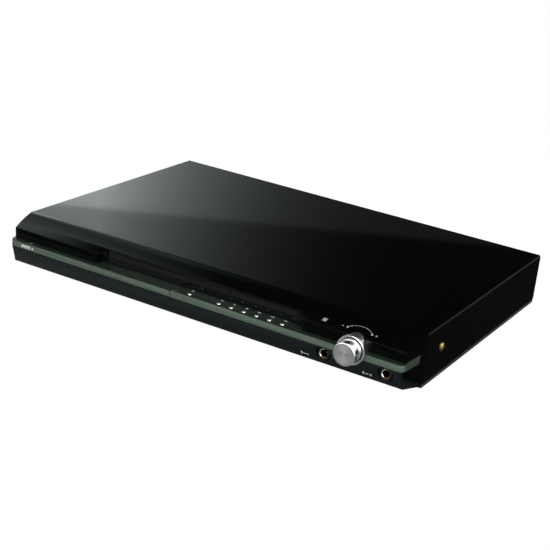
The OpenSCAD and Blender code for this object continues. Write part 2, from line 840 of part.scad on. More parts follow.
module tray_gear() {
    set_in_frame()
    color([0.85, 0.85, 0.8])
    translate([drive_x, drive_y, 0])
    difference() {
        union() {
            translate([0, 0, wheel_z])
                toothed(wheel_teeth, gear_module, 0.12, 0.8, 1.2, 2.6, 0);
            translate([0, 0, wheel_z + 2.2])
                toothed(pinion_teeth, rack_module, 0.1, 0.9, 1.2, 4.2, 0);
        }
        translate([0, 0, wheel_z - 5])
            cylinder(r = 2 + bearing_gap, h = 20, $fn = 48);
        for (a = [0 : 60 : 300])
            rotate([0, 0, a])
                translate([13.2, 0, wheel_z - 5])
                    cylinder(r = 1.4, h = 20, $fn = 24);
    }
}

// Two rims with the belt's groove between them
module pulley_rims(r, sides) {
    for (z = [pulley_z, groove_z[1]])
        translate([0, 0, z])
            cylinder(r = r, h = 0.9, $fn = sides);
    translate([0, 0, pulley_z])
        cylinder(r = r - groove_d, h = 3.6, $fn = sides);
}

module pulley_gear() {
    set_in_frame()
    color([0.86, 0.85, 0.8])
    translate([drive_x, idler_y, 0])
    difference() {
        union() {
            translate([0, 0, pulley_z + 3.2])
                toothed(small_teeth, gear_module, 0.14, 0.85, 1.2, 4.8, 180 / small_teeth);
            pulley_rims(pulley_r, 64);
        }
        translate([0, 0, pulley_z - 5])
            cylinder(r = 1.5 + bearing_gap, h = 20, $fn = 48);
    }
}

module motor_pulley() {
    set_in_frame()
    color([0.75, 0.74, 0.7])
    translate([motor_x, motor_y, 0]) {
        pulley_rims(motor_pulley_r, 48);
        translate([0, 0, deck_z0 - motor_h + 2.5])
            cylinder(r = 1, h = motor_h + 7, $fn = 32);
    }
}

function belt_points(p, q, r1, r2, n) =
    let (d = norm(q - p), t = atan2(q[1] - p[1], q[0] - p[0]))
    let (f = acos((r1 - r2) / d))
    concat(
        [for (i = [0 : n]) let (a = t + f + (360 - 2 * f) * i / n)
            p + r1 * [cos(a), sin(a)]],
        [for (i = [0 : n]) let (a = t - f + 2 * f * i / n)
            q + r2 * [cos(a), sin(a)]]
    );

// The belt's run as a solid slab, grown outward from the belt's inner face
module belt_section(grow, z0, z1) {
    seat = 0.3 - groove_d + grow;
    plan_section(belt_points([drive_x, idler_y], [motor_x, motor_y],
        pulley_r + seat, motor_pulley_r + seat, 40), z0, z1);
}

module loading_belt() {
    set_in_frame()
    color([0.04, 0.04, 0.04])
    difference() {
        belt_section(belt_t, groove_z[0] + 0.3, groove_z[1] - 0.3);
        belt_section(0, groove_z[0] - 1, groove_z[1] + 1);
    }
}

module loading_motor() {
    set_in_frame()
    color([0.7, 0.7, 0.7])
    difference() {
        union() {
            post(motor_x, motor_y, deck_z0 - motor_h, deck_z0, 12);
            post(motor_x, motor_y, deck_z0, deck_z1 + 0.5, 3);
        }
        post(motor_x, motor_y, deck_z0 - motor_h + 2, deck_z1 + 5, 1 + bearing_gap);
    }
}

// ---- Disc drive ----

module traverse_chassis() {
    set_in_frame()
    color([0.5, 0.51, 0.52])
    difference() {
        union() {
            box(tray_x - 37.5, tray_x + 37.5, 18, rail_y1 + 8, plate_z, rod_z + 1.25);
            for (s = [-1, 1], y = [rail_y0 - 6, rail_y1])
                box(tray_x + s * rod_dx - 4, tray_x + s * rod_dx + 4, y, y + 6,
                    rod_z - 3.25, rod_z + 2.75);
            box(screw_x - 4, screw_x + 4, rail_y1, rail_y1 + 8, screw_z - 4, screw_z + 4);
            box(screw_x - 4, screw_x + 4, rail_y0 - 6, rail_y0, screw_z - 4, screw_z + 2);
            for (x = [tray_x - 46, tray_x + 37])
                along_x(pivot_y, rod_z, x, x + 9, 2);
        }
        box(tray_x - rod_dx - 4.5, tray_x + rod_dx + 4.5, rail_y0, rail_y1,
            deck_z0, rod_z + 6);
        for (s = [-1, 1])
            along_y(tray_x + s * rod_dx, rod_z, rail_y0 - 7, rail_y1 + 7, guide_rod_r + bearing_gap);
        along_y(screw_x, screw_z, rail_y1 - 8, rail_y1 + 12, lead_screw_r + 0.3);
        along_y(screw_x, screw_z, rail_y0 - 3.5, rail_y0 + 6, lead_screw_r + bearing_gap);
        post(tray_x, spindle_y, deck_z0, rod_z + 6, 6);
    }
}

module spindle_motor() {
    set_in_frame()
    color([0.72, 0.72, 0.7])
    difference() {
        union() {
            post(tray_x, spindle_y, plate_z - 6, plate_z, 13);
            post(tray_x, spindle_y, plate_z - 0.5, plate_z + 3.9, 4);
        }
        post(tray_x, spindle_y, plate_z - 5, plate_z + 13, 1 + bearing_gap);
    }
}

module turntable() {
    set_in_frame()
    color([0.1, 0.1, 0.1])
    union() {
        post(tray_x, spindle_y, plate_z - 4.5, plate_z + 5.5, 1);
        post(tray_x, spindle_y, plate_z + 4.5, disc_z - 2.4, 8);
        post(tray_x, spindle_y, disc_z - 2.6, disc_z, turntable_r);
        translate([tray_x, spindle_y, disc_z])
            cylinder(r1 = 7.4, r2 = 5.8, h = 1.8, $fn = 64);
    }
}

module pickup_body() {
    set_in_frame()
    color([0.2, 0.2, 0.22])
    difference() {
        union() {
            box(tray_x - rod_dx - 3.5, tray_x + rod_dx + 3.5, lens_y - 9, lens_y + 11,
                rod_z - 6.25, rod_z + 2.25);
            box(tray_x - 13, tray_x + 13, lens_y - 9, lens_y + 10, rod_z + 1.25, rod_z + 4.25);
            post(tray_x, lens_y, rod_z + 3.25, rod_z + 5.25, 6);
        }
        for (s = [-1, 1])
            along_y(tray_x + s * rod_dx, rod_z, 50, 150, guide_rod_r + 0.06);
        along_y(screw_x, screw_z, 50, 150, lead_screw_r + 0.3);
        post(tray_x, lens_y, rod_z + 2.75, rod_z + 12, lens_r + 0.3);
        for (s = [-1, 1])
            box(tray_x + s * 20 - 4, tray_x + s * 20 + 4, lens_y - 20, lens_y + 20,
                rod_z + 1.15, rod_z + 3.25);
    }
}

module pickup_lens() {
    set_in_frame()
    color([0.5, 0.55, 0.75, 0.8])
    intersection() {
        post(tray_x, lens_y, rod_z + 3.85, rod_z + 8.25, lens_r);
        translate([tray_x, lens_y, rod_z + 1.65])
            sphere(r = 5.8, $fn = 64);
    }
}

module guide_rods() {
    set_in_frame()
    color([0.75, 0.76, 0.77])
    for (s = [-1, 1])
        along_y(tray_x + s * rod_dx, rod_z, rail_y0 - 5.5, rail_y1 + 5.5, guide_rod_r);
}

module sled_motor() {
    set_in_frame()
    color([0.72, 0.72, 0.7])
    difference() {
        along_y(screw_x, screw_z, rail_y1 + 8, rail_y1 + 26, 6);
        along_y(screw_x, screw_z, rail_y1 + 7, rail_y1 + 24, 1 + bearing_gap);
    }
}

module lead_screw() {
    set_in_frame()
    color([0.75, 0.76, 0.77])
    union() {
        difference() {
            along_y(screw_x, screw_z, rail_y0 - 3, rail_y1 + 7, lead_screw_r);
            for (i = [0 : 17])
                translate([screw_x, rail_y0 + 1 + i * 3.5, screw_z])
                    rotate([-90, 0, 0])
                        difference() {
                            cylinder(r = lead_screw_r + 1, h = 0.8, $fn = 24);
                            translate([0, 0, -1])
                                cylinder(r = lead_screw_r - 0.35, h = 3, $fn = 24);
                        }
        }
        along_y(screw_x, screw_z, rail_y1 + 6, rail_y1 + 22, 1);
    }
}

module clamp_bridge() {
    set_in_frame()
    color([0.7, 0.71, 0.72])
    difference() {
        union() {
            box(frame_x0, frame_x1, spindle_y - 14, spindle_y + 14, frame_top, frame_top + 1.2);
            post(tray_x, spindle_y, frame_top, frame_top + 1.2, 24);
        }
        post(tray_x, spindle_y, frame_top - 3, frame_top + 6, clamper_r + clamper_gap);
        for (x = frame_screw_x)
            post(x, spindle_y, frame_top - 3, frame_top + 6, screw_r + 0.2);
        for (s = [-1, 1])
            box(tray_x + s * 44 - 8, tray_x + s * 44 + 8, spindle_y - 7, spindle_y + 7,
                frame_top - 3, frame_top + 6);
    }
}

module clamper() {
    set_in_frame()
    color([0.12, 0.12, 0.13])
    difference() {
        union() {
            post(tray_x, spindle_y, disc_z + 1.4, frame_top + 1.6, clamper_r);
            post(tray_x, spindle_y, frame_top + 1.5, frame_top + 3, clamper_r + 3.3);
        }
        post(tray_x, spindle_y, disc_z - 5, disc_z + 3.9, 8.2);
        for (a = [0 : 60 : 300])
            translate([tray_x + 11.5 * cos(a), spindle_y + 11.5 * sin(a), disc_z + 4.4])
                cylinder(r = 1.6, h = 10, $fn = 24);
    }
}

// ---- Boards ----

module main_board() {
    set_in_frame()
    color([0.1, 0.32, 0.18])
    difference() {
        union() {
            box(main_x0, main_x1, 70, body_d - 10, board_z, board_top);
            // decoder, memory, amplifier and the connectors
            box(96, 124, 150, 178, board_top, board_top + 2.2);
            box(136, 146, 148, 166, board_top, board_top + 1.4);
            box(100, 118, 120, 130, board_top, board_top + 1.6);
            box(160, 174, 110, 116, board_top, board_top + 1.8);
            box(main_x0 + 5, main_x0 + 11, 134, 166, board_top, board_top + 5);
            box(main_x1 - 26, main_x1 - 10, 88, 94, board_top, board_top + 7);
            for (p = [[84, 96], [96, 96], [150, 190], [162, 190], [174, 190], [main_x1 - 22, 140]])
                post(p[0], p[1], board_top, board_top + 11, 4);
            post(126, 198, board_top, board_top + 3.6, 5);
        }
        for (x = main_screw_x, y = main_screw_y)
            post(x, y, 0, 30, screw_r + bearing_gap);
    }
}

module power_board() {
    set_in_frame()
    color([0.55, 0.4, 0.2])
    difference() {
        union() {
            box(power_x0, power_x1, 95, body_d - 10, board_z, board_top);
            // heat sink with fins
            box(sink_x, sink_x + 4, 108, 150, board_top, board_top + 30.4);
            for (i = [0 : 5])
                box(sink_x + 4, sink_x + 12, 108 + i * 8, 110 + i * 8, board_top, board_top + 30.4);
            // fuse, filter choke and regulators
            box(power_x0 + 6, power_x0 + 30, body_d - 34, body_d - 26, board_top, board_top + 9);
            box(sink_x, sink_x + 18, body_d - 46, body_d - 26, board_top, board_top + 17);
            for (y = [112, 132])
                box(sink_x - 4, sink_x, y, y + 10, board_top, board_top + 16);
            box(sink_x + 2, sink_x + 19, 98, 104, board_top, board_top + 8);
        }
        for (x = power_screw_x, y = power_screw_y)
            post(x, y, 0, 30, screw_r + bearing_gap);
    }
}

module transformer() {
    set_in_frame()
    color([0.75, 0.62, 0.2])
    union() {
        box(power_x0 + 16, power_x0 + 48, 168, 200, board_top, board_top + 6);
        box(power_x0 + 10, power_x0 + 54, 172, 196, board_top + 6, board_top + 24);
        box(power_x0 + 18, power_x0 + 46, 166, 202, board_top + 8, board_top + 22);
    }
}

module smoothing_capacitors() {
    set_in_frame()
    color([0.12, 0.14, 0.3])
    for (p = [
        [power_x0 + 20, 146, 8, 28],
        [sink_x - 15, 118, 6.5, 24],
        [power_x0 + 7, 118, 5, 18],
        [sink_x + 14, body_d - 60, 6.5, 24]
    ])
        post(p[0], p[1], board_top, board_top + p[3], p[2]);
}

module mic_board() {
    set_in_frame()
    color([0.1, 0.32, 0.18])
    union() {
        box(hw - 94, hw - 10, -2, -0.4, 6.5, body_h - 6.3);
        box(hw - 65, hw - 57, -5, -2, 8, 14);
        for (x = [hw - 43, hw - 37])
            along_y(x, 12, -7, -2, 2.2);
    }
}

module key_board() {
    set_in_frame()
    color([0.1, 0.32, 0.18])
    union() {
        box(-20, 105, -29.5, -13.2, key_board_z, key_board_z + board_t);
        box(0, 12, -18, -13.2, key_board_z + board_t, key_board_z + 4.6);
    }
}

module tact_switches() {
    set_in_frame()
    color([0.2, 0.2, 0.2])
    for (x = all_keys_x) {
        box(x - 3, x + 3, -29, -23, key_board_z + board_t, key_board_z + 4);
        post(x, -26, key_board_z + 3.8, key_board_z + 4.65, 1.7);
    }
}

// ---- Front controls ----

module dome_key(x) {
    color([0.78, 0.79, 0.8])
    union() {
        post(x, -key_y, key_base, key_top - key_dome_r, key_r);
        intersection() {
            post(x, -key_y, key_top - key_dome_r - 0.1, key_top + 1, key_r);
            translate([x, -key_y, key_top - key_dome_r])
                sphere(r = key_dome_r, $fn = 64);
        }
        box(x - 2.9, x + 2.9, -31.6, -24.2, key_base - 0.6, key_base + 0.6);
    }
}

module eject_key() {
    set_in_frame()
        dome_key(eject_x);
}

module transport_key(i) {
    set_in_frame()
        dome_key(transport_x[i]);
}

module volume_knob() {
    set_in_frame()
    color([0.78, 0.79, 0.8])
    translate([knob_x, 0, knob_z])
    rotate([-90, 0, 0])
    difference() {
        union() {
            translate([0, 0, -knob_y + 1])
                cylinder(r = knob_r, h = knob_y - 28.5, $fn = 96);
            translate([0, 0, -knob_y])
                cylinder(r1 = knob_r - 0.8, r2 = knob_r, h = 1, $fn = 96);
        }
        difference() {
            translate([0, 0, -knob_y + 3.5])
                cylinder(r = knob_r - 1.8, h = knob_y, $fn = 96);
            translate([0, 0, -knob_y])
                cylinder(r = 5, h = knob_y - 30, $fn = 48);
        }
        translate([0, 0, -knob_y + 4])
            cylinder(r = 3.01, h = knob_y, $fn = 48);
        translate([0, 0, -knob_y - 60 + 0.5])
            sphere(r = 60, $fn = 128);
    }
}

module volume_shaft() {
    set_in_frame()
    color([0.7, 0.7, 0.68])
    along_y(knob_x, knob_z, -knob_y + 4, -13.5, 3);
}

module volume_pot() {
    set_in_frame()
    color([0.3, 0.3, 0.32])
    difference() {
        union() {
            box(knob_x - 8.5, knob_x + 8.5, -21.7, -12, knob_z - 8.5, knob_z + 8.5);
            along_y(knob_x, knob_z, -28, -21, 3.6);
        }
        along_y(knob_x, knob_z, -40, -13, 3 + bearing_gap);
    }
}

module volume_collar() {
    set_in_frame()
    color([0.72, 0.72, 0.74])
    difference() {
        union() {
            // bright ring
            along_y(knob_x, knob_z, -collar_y, -collar_y + collar_ring_t, collar_r);
            along_y(knob_x, knob_z, -collar_y, -22, collar_body_r);
            // flange, cut flat under the moulding's slope
            intersection() {
                along_y(knob_x, knob_z, -23.2, -21.7, 15.5);
                box(knob_x - 20, knob_x + 20, -30, -20, 0, body_h - 9.2);
            }
        }
        along_y(knob_x, knob_z, -60, -23.7, collar_in_r);
        along_y(knob_x, knob_z, -60, -10, 3.65);
        translate([knob_x, -collar_y, knob_z])
            rotate([-90, 0, 0])
                translate([0, 0, -0.01])
                    cylinder(r1 = collar_in_r + 1, r2 = collar_in_r, h = 1, $fn = 64);
    }
}

module mic_jack(x) {
    color([0.75, 0.68, 0.5])
    difference() {
        union() {
            box(x - 8, x + 8, -26, -2, jack_z - 8, jack_z + 8);
            along_y(x, jack_z, -31, -25, jack_nose_r);
        }
        along_y(x, jack_z, -40, -4, jack_bore_r);
    }
}

module mic_jack_1() {
    set_in_frame()
        mic_jack(jack_x[0]);
}

module mic_jack_2() {
    set_in_frame()
        mic_jack(jack_x[1]);
}

module power_bar() {
    set_in_frame()
    color([0.78, 0.79, 0.8])
    union() {
        box(power_x - power_w / 2, power_x + power_w / 2, -36.3, -23.5,
            power_z - power_h / 2, power_z + power_h / 2);
        box(power_x - power_w / 2 - 1.2, power_x + power_w / 2 + 1.2,
            -23.5, -22.3, power_z - power_h / 2 - 1, power_z + power_h / 2 + 1);
    }
}

module power_switch() {
    set_in_frame()
    color([0.15, 0.15, 0.16])
    union() {
        box(power_x - 5, power_x + 5, -19.6, -16, power_z - 6, power_z + 6);
        along_y(power_x, power_z, -20.7, -19, 1.8);
    }
}

module standby_lamp() {
    set_in_frame()
    color([0.7, 0.15, 0.1])
    union() {
        along_y(lamp_x, power_z, -35.8, -30, lamp_r);
        along_y(lamp_x, power_z, -31, -29.6, 1.25);
    }
}

// ---- Under and behind ----

module foot(i) {
    x = foot_x[i % 2];
    y = foot_y[floor(i / 2)];
    color([0.05, 0.05, 0.05])
    translate([x, y, -foot_h])
    difference() {
        union() {
            cylinder(r1 = foot_r - 1.5, r2 = foot_r - 0.8, h = 1.5, $fn = 64);
            translate([0, 0, 1.5])
                cylinder(r1 = foot_r - 0.8, r2 = foot_r, h = foot_h - 1.5, $fn = 64);
        }
        translate([0, 0, -1])
            cylinder(r = 4.5, h = foot_h - 1.2, $fn = 48);
        cylinder(r = screw_r + 0.2, h = foot_h + 1, $fn = 32);
    }
}

module foot_1() {
    set_in_frame()
        foot(0);
}

module foot_2() {
    set_in_frame()
        foot(1);
}

module foot_3() {
    set_in_frame()
        foot(2);
}

module foot_4() {
    set_in_frame()
        foot(3);
}

module phono(x, z) {
    difference() {
        union() {
            along_y(x, z, rear_in_y - 1, rear_out_y + 1.6, 4.9);
            along_y(x, z, rear_out_y, rear_most, phono_r);
        }
        along_y(x, z, rear_out_y + 1, rear_most + 1, 1.7);
        difference() {
            along_y(x, z, rear_out_y + 3, rear_most + 1, phono_r - 0.6);
            along_y(x, z, rear_out_y, rear_most - 0.4, phono_r - 1.2);
        }
    }
}

module av_sockets() {
    set_in_frame()
    color([0.8, 0.75, 0.3])
    union() {
        box(phono_x[0] - 8, phono_x[2] + 8, rear_in_y - 16.2, rear_in_y, board_top, phono_z[1] + 8);
        for (x = phono_x, z = phono_z)
            phono(x, z);
    }
}

module digital_sockets() {
    front_y = rear_in_y - 16.2;
    set_in_frame()
    color([0.15, 0.15, 0.16])
    union() {
        box(coax_x - 8, coax_x + 8, front_y, rear_in_y, board_top, digital_z + 8);
        phono(coax_x, digital_z);
        difference() {
            box(optical_x - 6.3, optical_x + 6.3, front_y, rear_out_y + 0.8,
                digital_z - 5.3, digital_z + 5.3);
            box(optical_x - 3.5, optical_x + 3.5, rear_in_y - 8.2, body_d + 3,
                digital_z - 3, digital_z + 3.5);
        }
        box(optical_x - 6, optical_x + 6, front_y, rear_in_y, board_top, digital_z - 5);
        box(round_x - 9, round_x + 9, front_y, rear_in_y, board_top, digital_z + 9);
        difference() {
            along_y(round_x, digital_z, rear_in_y - 1, rear_out_y + 1, 6.9);
            along_y(round_x, digital_z, rear_in_y + 0.2, body_d + 3, 4.9);
        }
    }
}

module mains_inlet() {
    set_in_frame()
    color([0.06, 0.06, 0.06])
    difference() {
        union() {
            box(inlet_x - 14, inlet_x + 14, rear_in_y - 20.2, rear_in_y, board_top, inlet_z + 10);
            box(inlet_x - 11.8, inlet_x + 11.8, rear_in_y - 1, rear_out_y + 1.2,
                inlet_z - 6.8, inlet_z + 6.8);
        }
        difference() {
            union() {
                for (s = [-4.3, 4.3])
                    along_y(inlet_x + s, inlet_z, rear_in_y - 14.2, body_d + 3, 4.4);
                box(inlet_x - 4.3, inlet_x + 4.3, rear_in_y - 14.2, body_d + 3,
                    inlet_z - 3.6, inlet_z + 3.6);
            }
            for (s = [-4.3, 4.3])
                along_y(inlet_x + s, inlet_z, rear_in_y - 20.2, rear_out_y - 1, 1.2);
        }
    }
}

// A screw with a cross recess; its head stands on z = 0 and it points down
module screw(length, r, recess) {
    difference() {
        union() {
            translate([0, 0, -length])
                cylinder(r = screw_r, h = length + 0.5, $fn = 32);
            cylinder(r = r, h = 1, $fn = 48);
            translate([0, 0, 1])
                cylinder(r1 = r, r2 = r * 0.72, h = 0.7, $fn = 48);
        }
        translate([-recess, -0.4, 0.7])
            cube([2 * recess, 0.8, 3]);
        translate([-0.4, -recess, 0.7])
            cube([0.8, 2 * recess, 3]);
    }
}

module cover_screws() {
    set_in_frame()
    color([0.55, 0.45, 0.2]) {
        translate([hw - 0.4, side_screw_y, side_screw_z])
            rotate([0, 90, 0])
                screw(8, head_r, 2);
        translate([-hw + 0.4, side_screw_y, side_screw_z])
            rotate([0, -90, 0])
                screw(8, head_r, 2);
        for (x = rear_screw_x)
            translate([x, body_d, rear_screw_z])
                rotate([-90, 0, 0])
                    screw(8, head_r, 2);
    }
}

module inner_screws() {
    set_in_frame()
    color([0.6, 0.6, 0.58]) {
        for (p = leg_at)
            translate([p[0], p[1], deck_z1])
                screw(9, 3, 1.8);
        for (x = frame_screw_x)
            translate([x, spindle_y, frame_top + 1.2])
                screw(4.5, 3, 1.8);
        for (x = main_screw_x, y = main_screw_y)
            translate([x, y, board_top])
                screw(6, 3, 1.8);
        for (x = power_screw_x, y = power_screw_y)
            translate([x, y, board_top])
                screw(6, 3, 1.8);
        for (x = foot_x, y = foot_y)
            translate([x, y, -2.2])
                rotate([180, 0, 0])
                    screw(5, 3, 1.8);
    }
}

module ribbon_cable() {
    set_in_frame()
    color([0.85, 0.86, 0.88])
    front_section([
        [main_x0 + 10, board_top + 5],
        [main_x0 + 10, board_top + 5.4],
        [main_x0 + 4, board_top + 7.4],
        [main_x0 - 3, deck_z0 - 0.6],
        [33, deck_z0],
        [20, deck_z0],
        [20, deck_z0 - 0.4],
        [33, deck_z0 - 0.4],
        [main_x0 - 3, deck_z0 - 1],
        [main_x0 + 4, board_top + 7],
        [main_x0 + 6, board_top + 5]
    ], 138, 160);
}

top_cover();
chassis_base();
rear_panel();
front_bezel();
ledge_trim_left();
ledge_trim_right();
display_window();
display_module();
tray_door();
disc_tray();
loader_frame();
tray_gear();
pulley_gear();
motor_pulley();
loading_belt();
loading_motor();
traverse_chassis();
spindle_motor();
turntable();
pickup_body();
pickup_lens();
guide_rods();
sled_motor();
lead_screw();
clamp_bridge();
clamper();
main_board();
power_board();
transformer();
smoothing_capacitors();
mic_board();
key_board();
tact_switches();
volume_knob();
volume_shaft();
volume_pot();
volume_collar();
mic_jack_1();
mic_jack_2();
power_bar();
power_switch();
standby_lamp();
eject_key();
transport_key(0);  // transport_key_1
transport_key(1);  // transport_key_2
transport_key(2);  // transport_key_3
transport_key(3);  // transport_key_4
transport_key(4);  // transport_key_5
transport_key(5);  // transport_key_6
foot_1();
foot_2();
foot_3();
foot_4();
av_sockets();
digital_sockets();
mains_inlet();
cover_screws();
inner_screws();
ribbon_cable();
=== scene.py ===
"""Looks of a slim black disc player: gloss front moulding, metallic ledge,
chrome keys, spun volume knob and a painted steel cover, dressed over the CAD
solids. Lengths in the helpers are millimetres from the front seam (y), the
lower edge of the side walls (z) and the middle of the case (x)."""
import json
import math

import bpy
from bpy.props import FloatProperty, FloatVectorProperty
from mathutils import Matrix, Vector

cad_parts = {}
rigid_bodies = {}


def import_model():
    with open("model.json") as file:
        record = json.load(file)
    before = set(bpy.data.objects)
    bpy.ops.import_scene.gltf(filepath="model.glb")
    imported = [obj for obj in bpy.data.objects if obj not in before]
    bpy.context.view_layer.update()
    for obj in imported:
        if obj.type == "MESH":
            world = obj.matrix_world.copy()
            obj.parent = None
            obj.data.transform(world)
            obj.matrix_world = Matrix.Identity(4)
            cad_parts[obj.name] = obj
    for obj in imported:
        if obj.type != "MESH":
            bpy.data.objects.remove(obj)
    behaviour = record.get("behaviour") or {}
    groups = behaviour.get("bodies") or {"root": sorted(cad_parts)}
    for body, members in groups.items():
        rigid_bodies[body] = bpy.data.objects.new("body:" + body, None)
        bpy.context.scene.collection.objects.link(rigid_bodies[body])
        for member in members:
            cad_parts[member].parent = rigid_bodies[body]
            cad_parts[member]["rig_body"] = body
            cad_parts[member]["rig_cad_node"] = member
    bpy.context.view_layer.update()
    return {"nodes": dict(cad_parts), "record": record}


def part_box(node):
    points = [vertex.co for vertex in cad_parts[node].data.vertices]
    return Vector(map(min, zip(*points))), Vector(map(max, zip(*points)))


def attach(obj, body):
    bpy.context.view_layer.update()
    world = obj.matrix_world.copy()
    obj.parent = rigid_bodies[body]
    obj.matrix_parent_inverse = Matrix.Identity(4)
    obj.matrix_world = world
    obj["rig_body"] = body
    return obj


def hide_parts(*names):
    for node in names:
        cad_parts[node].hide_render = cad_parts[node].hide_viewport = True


bl_info = {
    "name": "Disc player finishes",
    "version": (1, 0, 0),
    "blender": (4, 5, 0),
    "location": "3D View > Sidebar > Player",
    "description": "Dresses the solids of a disc player with tray",
    "category": "Object",
}

MM = 0.001
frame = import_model()
NODES = frame["nodes"]
BODY_OF = {
    node: body
    for body, members in frame["record"]["behaviour"]["bodies"].items()
    for node in members
}
BASE_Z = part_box("foot_1")[1].z
SEAM_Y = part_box("chassis_base")[0].y


def at(x, y, z):
    """A point of the layout, in metres of the row frame."""
    return Vector((x * MM, y * MM + SEAM_Y, z * MM + BASE_Z))


# ---- Sizes and colours a user would change ----


class PlayerSizes(bpy.types.PropertyGroup):
    moulding_edge: FloatProperty(
        name="Moulding edge",
        description="Radius of the front moulding's edges",
        default=0.5 * MM,
        min=0.0,
        unit="LENGTH",
    )
    metal_edge: FloatProperty(
        name="Fine edge",
        description="Radius of the edges of the tray, its door, the collar and the jacks",
        default=0.3 * MM,
        min=0.0,
        unit="LENGTH",
    )
    control_edge: FloatProperty(
        name="Control edge",
        description="Radius of the edges of the knob and the power bar",
        default=0.5 * MM,
        min=0.0,
        unit="LENGTH",
    )
    print_height: FloatProperty(
        name="Print height",
        description="How far the printed marks stand on their faces",
        default=0.03 * MM,
        min=0.0,
        unit="LENGTH",
    )


class PlayerColours(bpy.types.PropertyGroup):
    cover: FloatVectorProperty(
        name="Cover",
        description="Paint of the steel cover",
        default=(0.0016, 0.0017, 0.0016),
        size=3,
        subtype="COLOR",
    )
    moulding: FloatVectorProperty(
        name="Moulding",
        description="Plastic of the front moulding",
        default=(0.0019, 0.0023, 0.0026),
        size=3,
        subtype="COLOR",
    )
    ledge: FloatVectorProperty(
        name="Ledge",
        description="Metallic paint of the ledge",
        default=(0.125, 0.178, 0.135),
        size=3,
        subtype="COLOR",
    )
    bright: FloatVectorProperty(
        name="Bright metal",
        description="Plating of the keys, the power bar and the knob",
        default=(0.88, 0.88, 0.89),
        size=3,
        subtype="COLOR",
    )


# ---- Node helpers ----


def feed(tree, socket, value):
    """Links an output to the socket, or sets the socket to a plain value."""
    if isinstance(value, bpy.types.NodeSocket):
        tree.links.new(value, socket)
    else:
        socket.default_value = value


def add_node(tree, kind, operation=None, **inputs):
    """A node with its inputs fed; a space in a socket's name is written as _."""
    node = tree.nodes.new("ShaderNode" + kind)
    if operation:
        node.operation = operation
    for label, value in inputs.items():
        feed(tree, node.inputs[label.replace("_", " ")], value)
    return node


def feed_in_order(tree, node, values):
    for socket, value in zip(node.inputs, values):
        feed(tree, socket, value)
    return node


def maths(tree, operation, *values):
    return feed_in_order(tree, add_node(tree, "Math", operation), values).outputs["Value"]


def vector_maths(tree, operation, *values):
    return feed_in_order(tree, add_node(tree, "VectorMath", operation), values).outputs


def remap(tree, value, start, stop, low=0.0, high=1.0):
    """Start to stop becomes low to high; past them the result stays at its ends."""
    node = add_node(
        tree, "MapRange", Value=value, From_Min=start, From_Max=stop, To_Min=low, To_Max=high
    )
    return node.outputs["Result"]


def coordinates(tree, kind):
    """X, Y and Z of a kind of texture coordinate."""
    place = tree.nodes.new("ShaderNodeTexCoord")
    return add_node(tree, "SeparateXYZ", Vector=place.outputs[kind]).outputs


def mixed_shader(tree, fac, first, second):
    return feed_in_order(tree, add_node(tree, "MixShader"), (fac, first, second)).outputs["Shader"]


# ---- Shader groups ----


def new_group(name, inputs, outputs):
    """A group, the sockets that bring its inputs and those that take its outputs."""
    group = bpy.data.node_groups.new(name, "ShaderNodeTree")
    for label, kind, value in inputs:
        socket = group.interface.new_socket(label, in_out="INPUT", socket_type=kind)
        if value is not None:
            socket.default_value = value
    for label in outputs:
        group.interface.new_socket(label, in_out="OUTPUT", socket_type="NodeSocketFloat")
    entry, result = (group.nodes.new("NodeGroup" + end) for end in ("Input", "Output"))
    return group, entry.outputs, result.inputs


def make_grain_group():
    """Fine grain over broad mottling: a height and a mask that vary over the face."""
    group, inp, out = new_group(
        "Grain and mottle",
        [
            ("Vector", "NodeSocketVector", None),
            ("Grain scale", "NodeSocketFloat", 2500.0),
            ("Mottle scale", "NodeSocketFloat", 18.0),
        ],
        ["Height", "Mottle"],
    )
    place = inp["Vector"]
    fine = add_node(group, "TexNoise", Vector=place, Scale=inp["Grain scale"], Detail=3.0)
    broad = add_node(
        group, "TexNoise", Vector=place, Scale=inp["Mottle scale"], Detail=5.0, Roughness=0.6
    )
    feed(group, out["Height"], fine.outputs["Fac"])
    feed(group, out["Mottle"], broad.outputs["Fac"])
    return group


def make_dust_group():
    """Specks and faint scuffs as a mask from 0 to 1."""
    group, inp, out = new_group(
        "Dust and scuffs",
        [
            ("Vector", "NodeSocketVector", None),
            ("Scale", "NodeSocketFloat", 260.0),
            ("Amount", "NodeSocketFloat", 0.3),
        ],
        ["Mask"],
    )
    specks = add_node(group, "TexVoronoi", Vector=inp["Vector"], Scale=inp["Scale"])
    patches = add_node(group, "TexNoise", Vector=inp["Vector"], Scale=30.0, Detail=6.0)
    near = remap(group, specks.outputs["Distance"], 0.16, 0.05)
    keep = remap(group, patches.outputs["Fac"], 0.45, 0.75)
    mask = maths(group, "MULTIPLY", maths(group, "MULTIPLY", near, keep), inp["Amount"])
    feed(group, out["Mask"], mask)
    return group


def make_brush_group():
    """Long fine lines along one axis: stretch squeezes the pattern across the others."""
    group, inp, out = new_group(
        "Brushed lines",
        [
            ("Vector", "NodeSocketVector", None),
            ("Stretch", "NodeSocketVector", (20.0, 2500.0, 2500.0)),
        ],
        ["Lines"],
    )
    squeezed = vector_maths(group, "MULTIPLY", inp["Vector"], inp["Stretch"])["Vector"]
    noise = add_node(group, "TexNoise", Vector=squeezed, Scale=1.0, Detail=3.0)
    feed(group, out["Lines"], noise.outputs["Fac"])
    return group


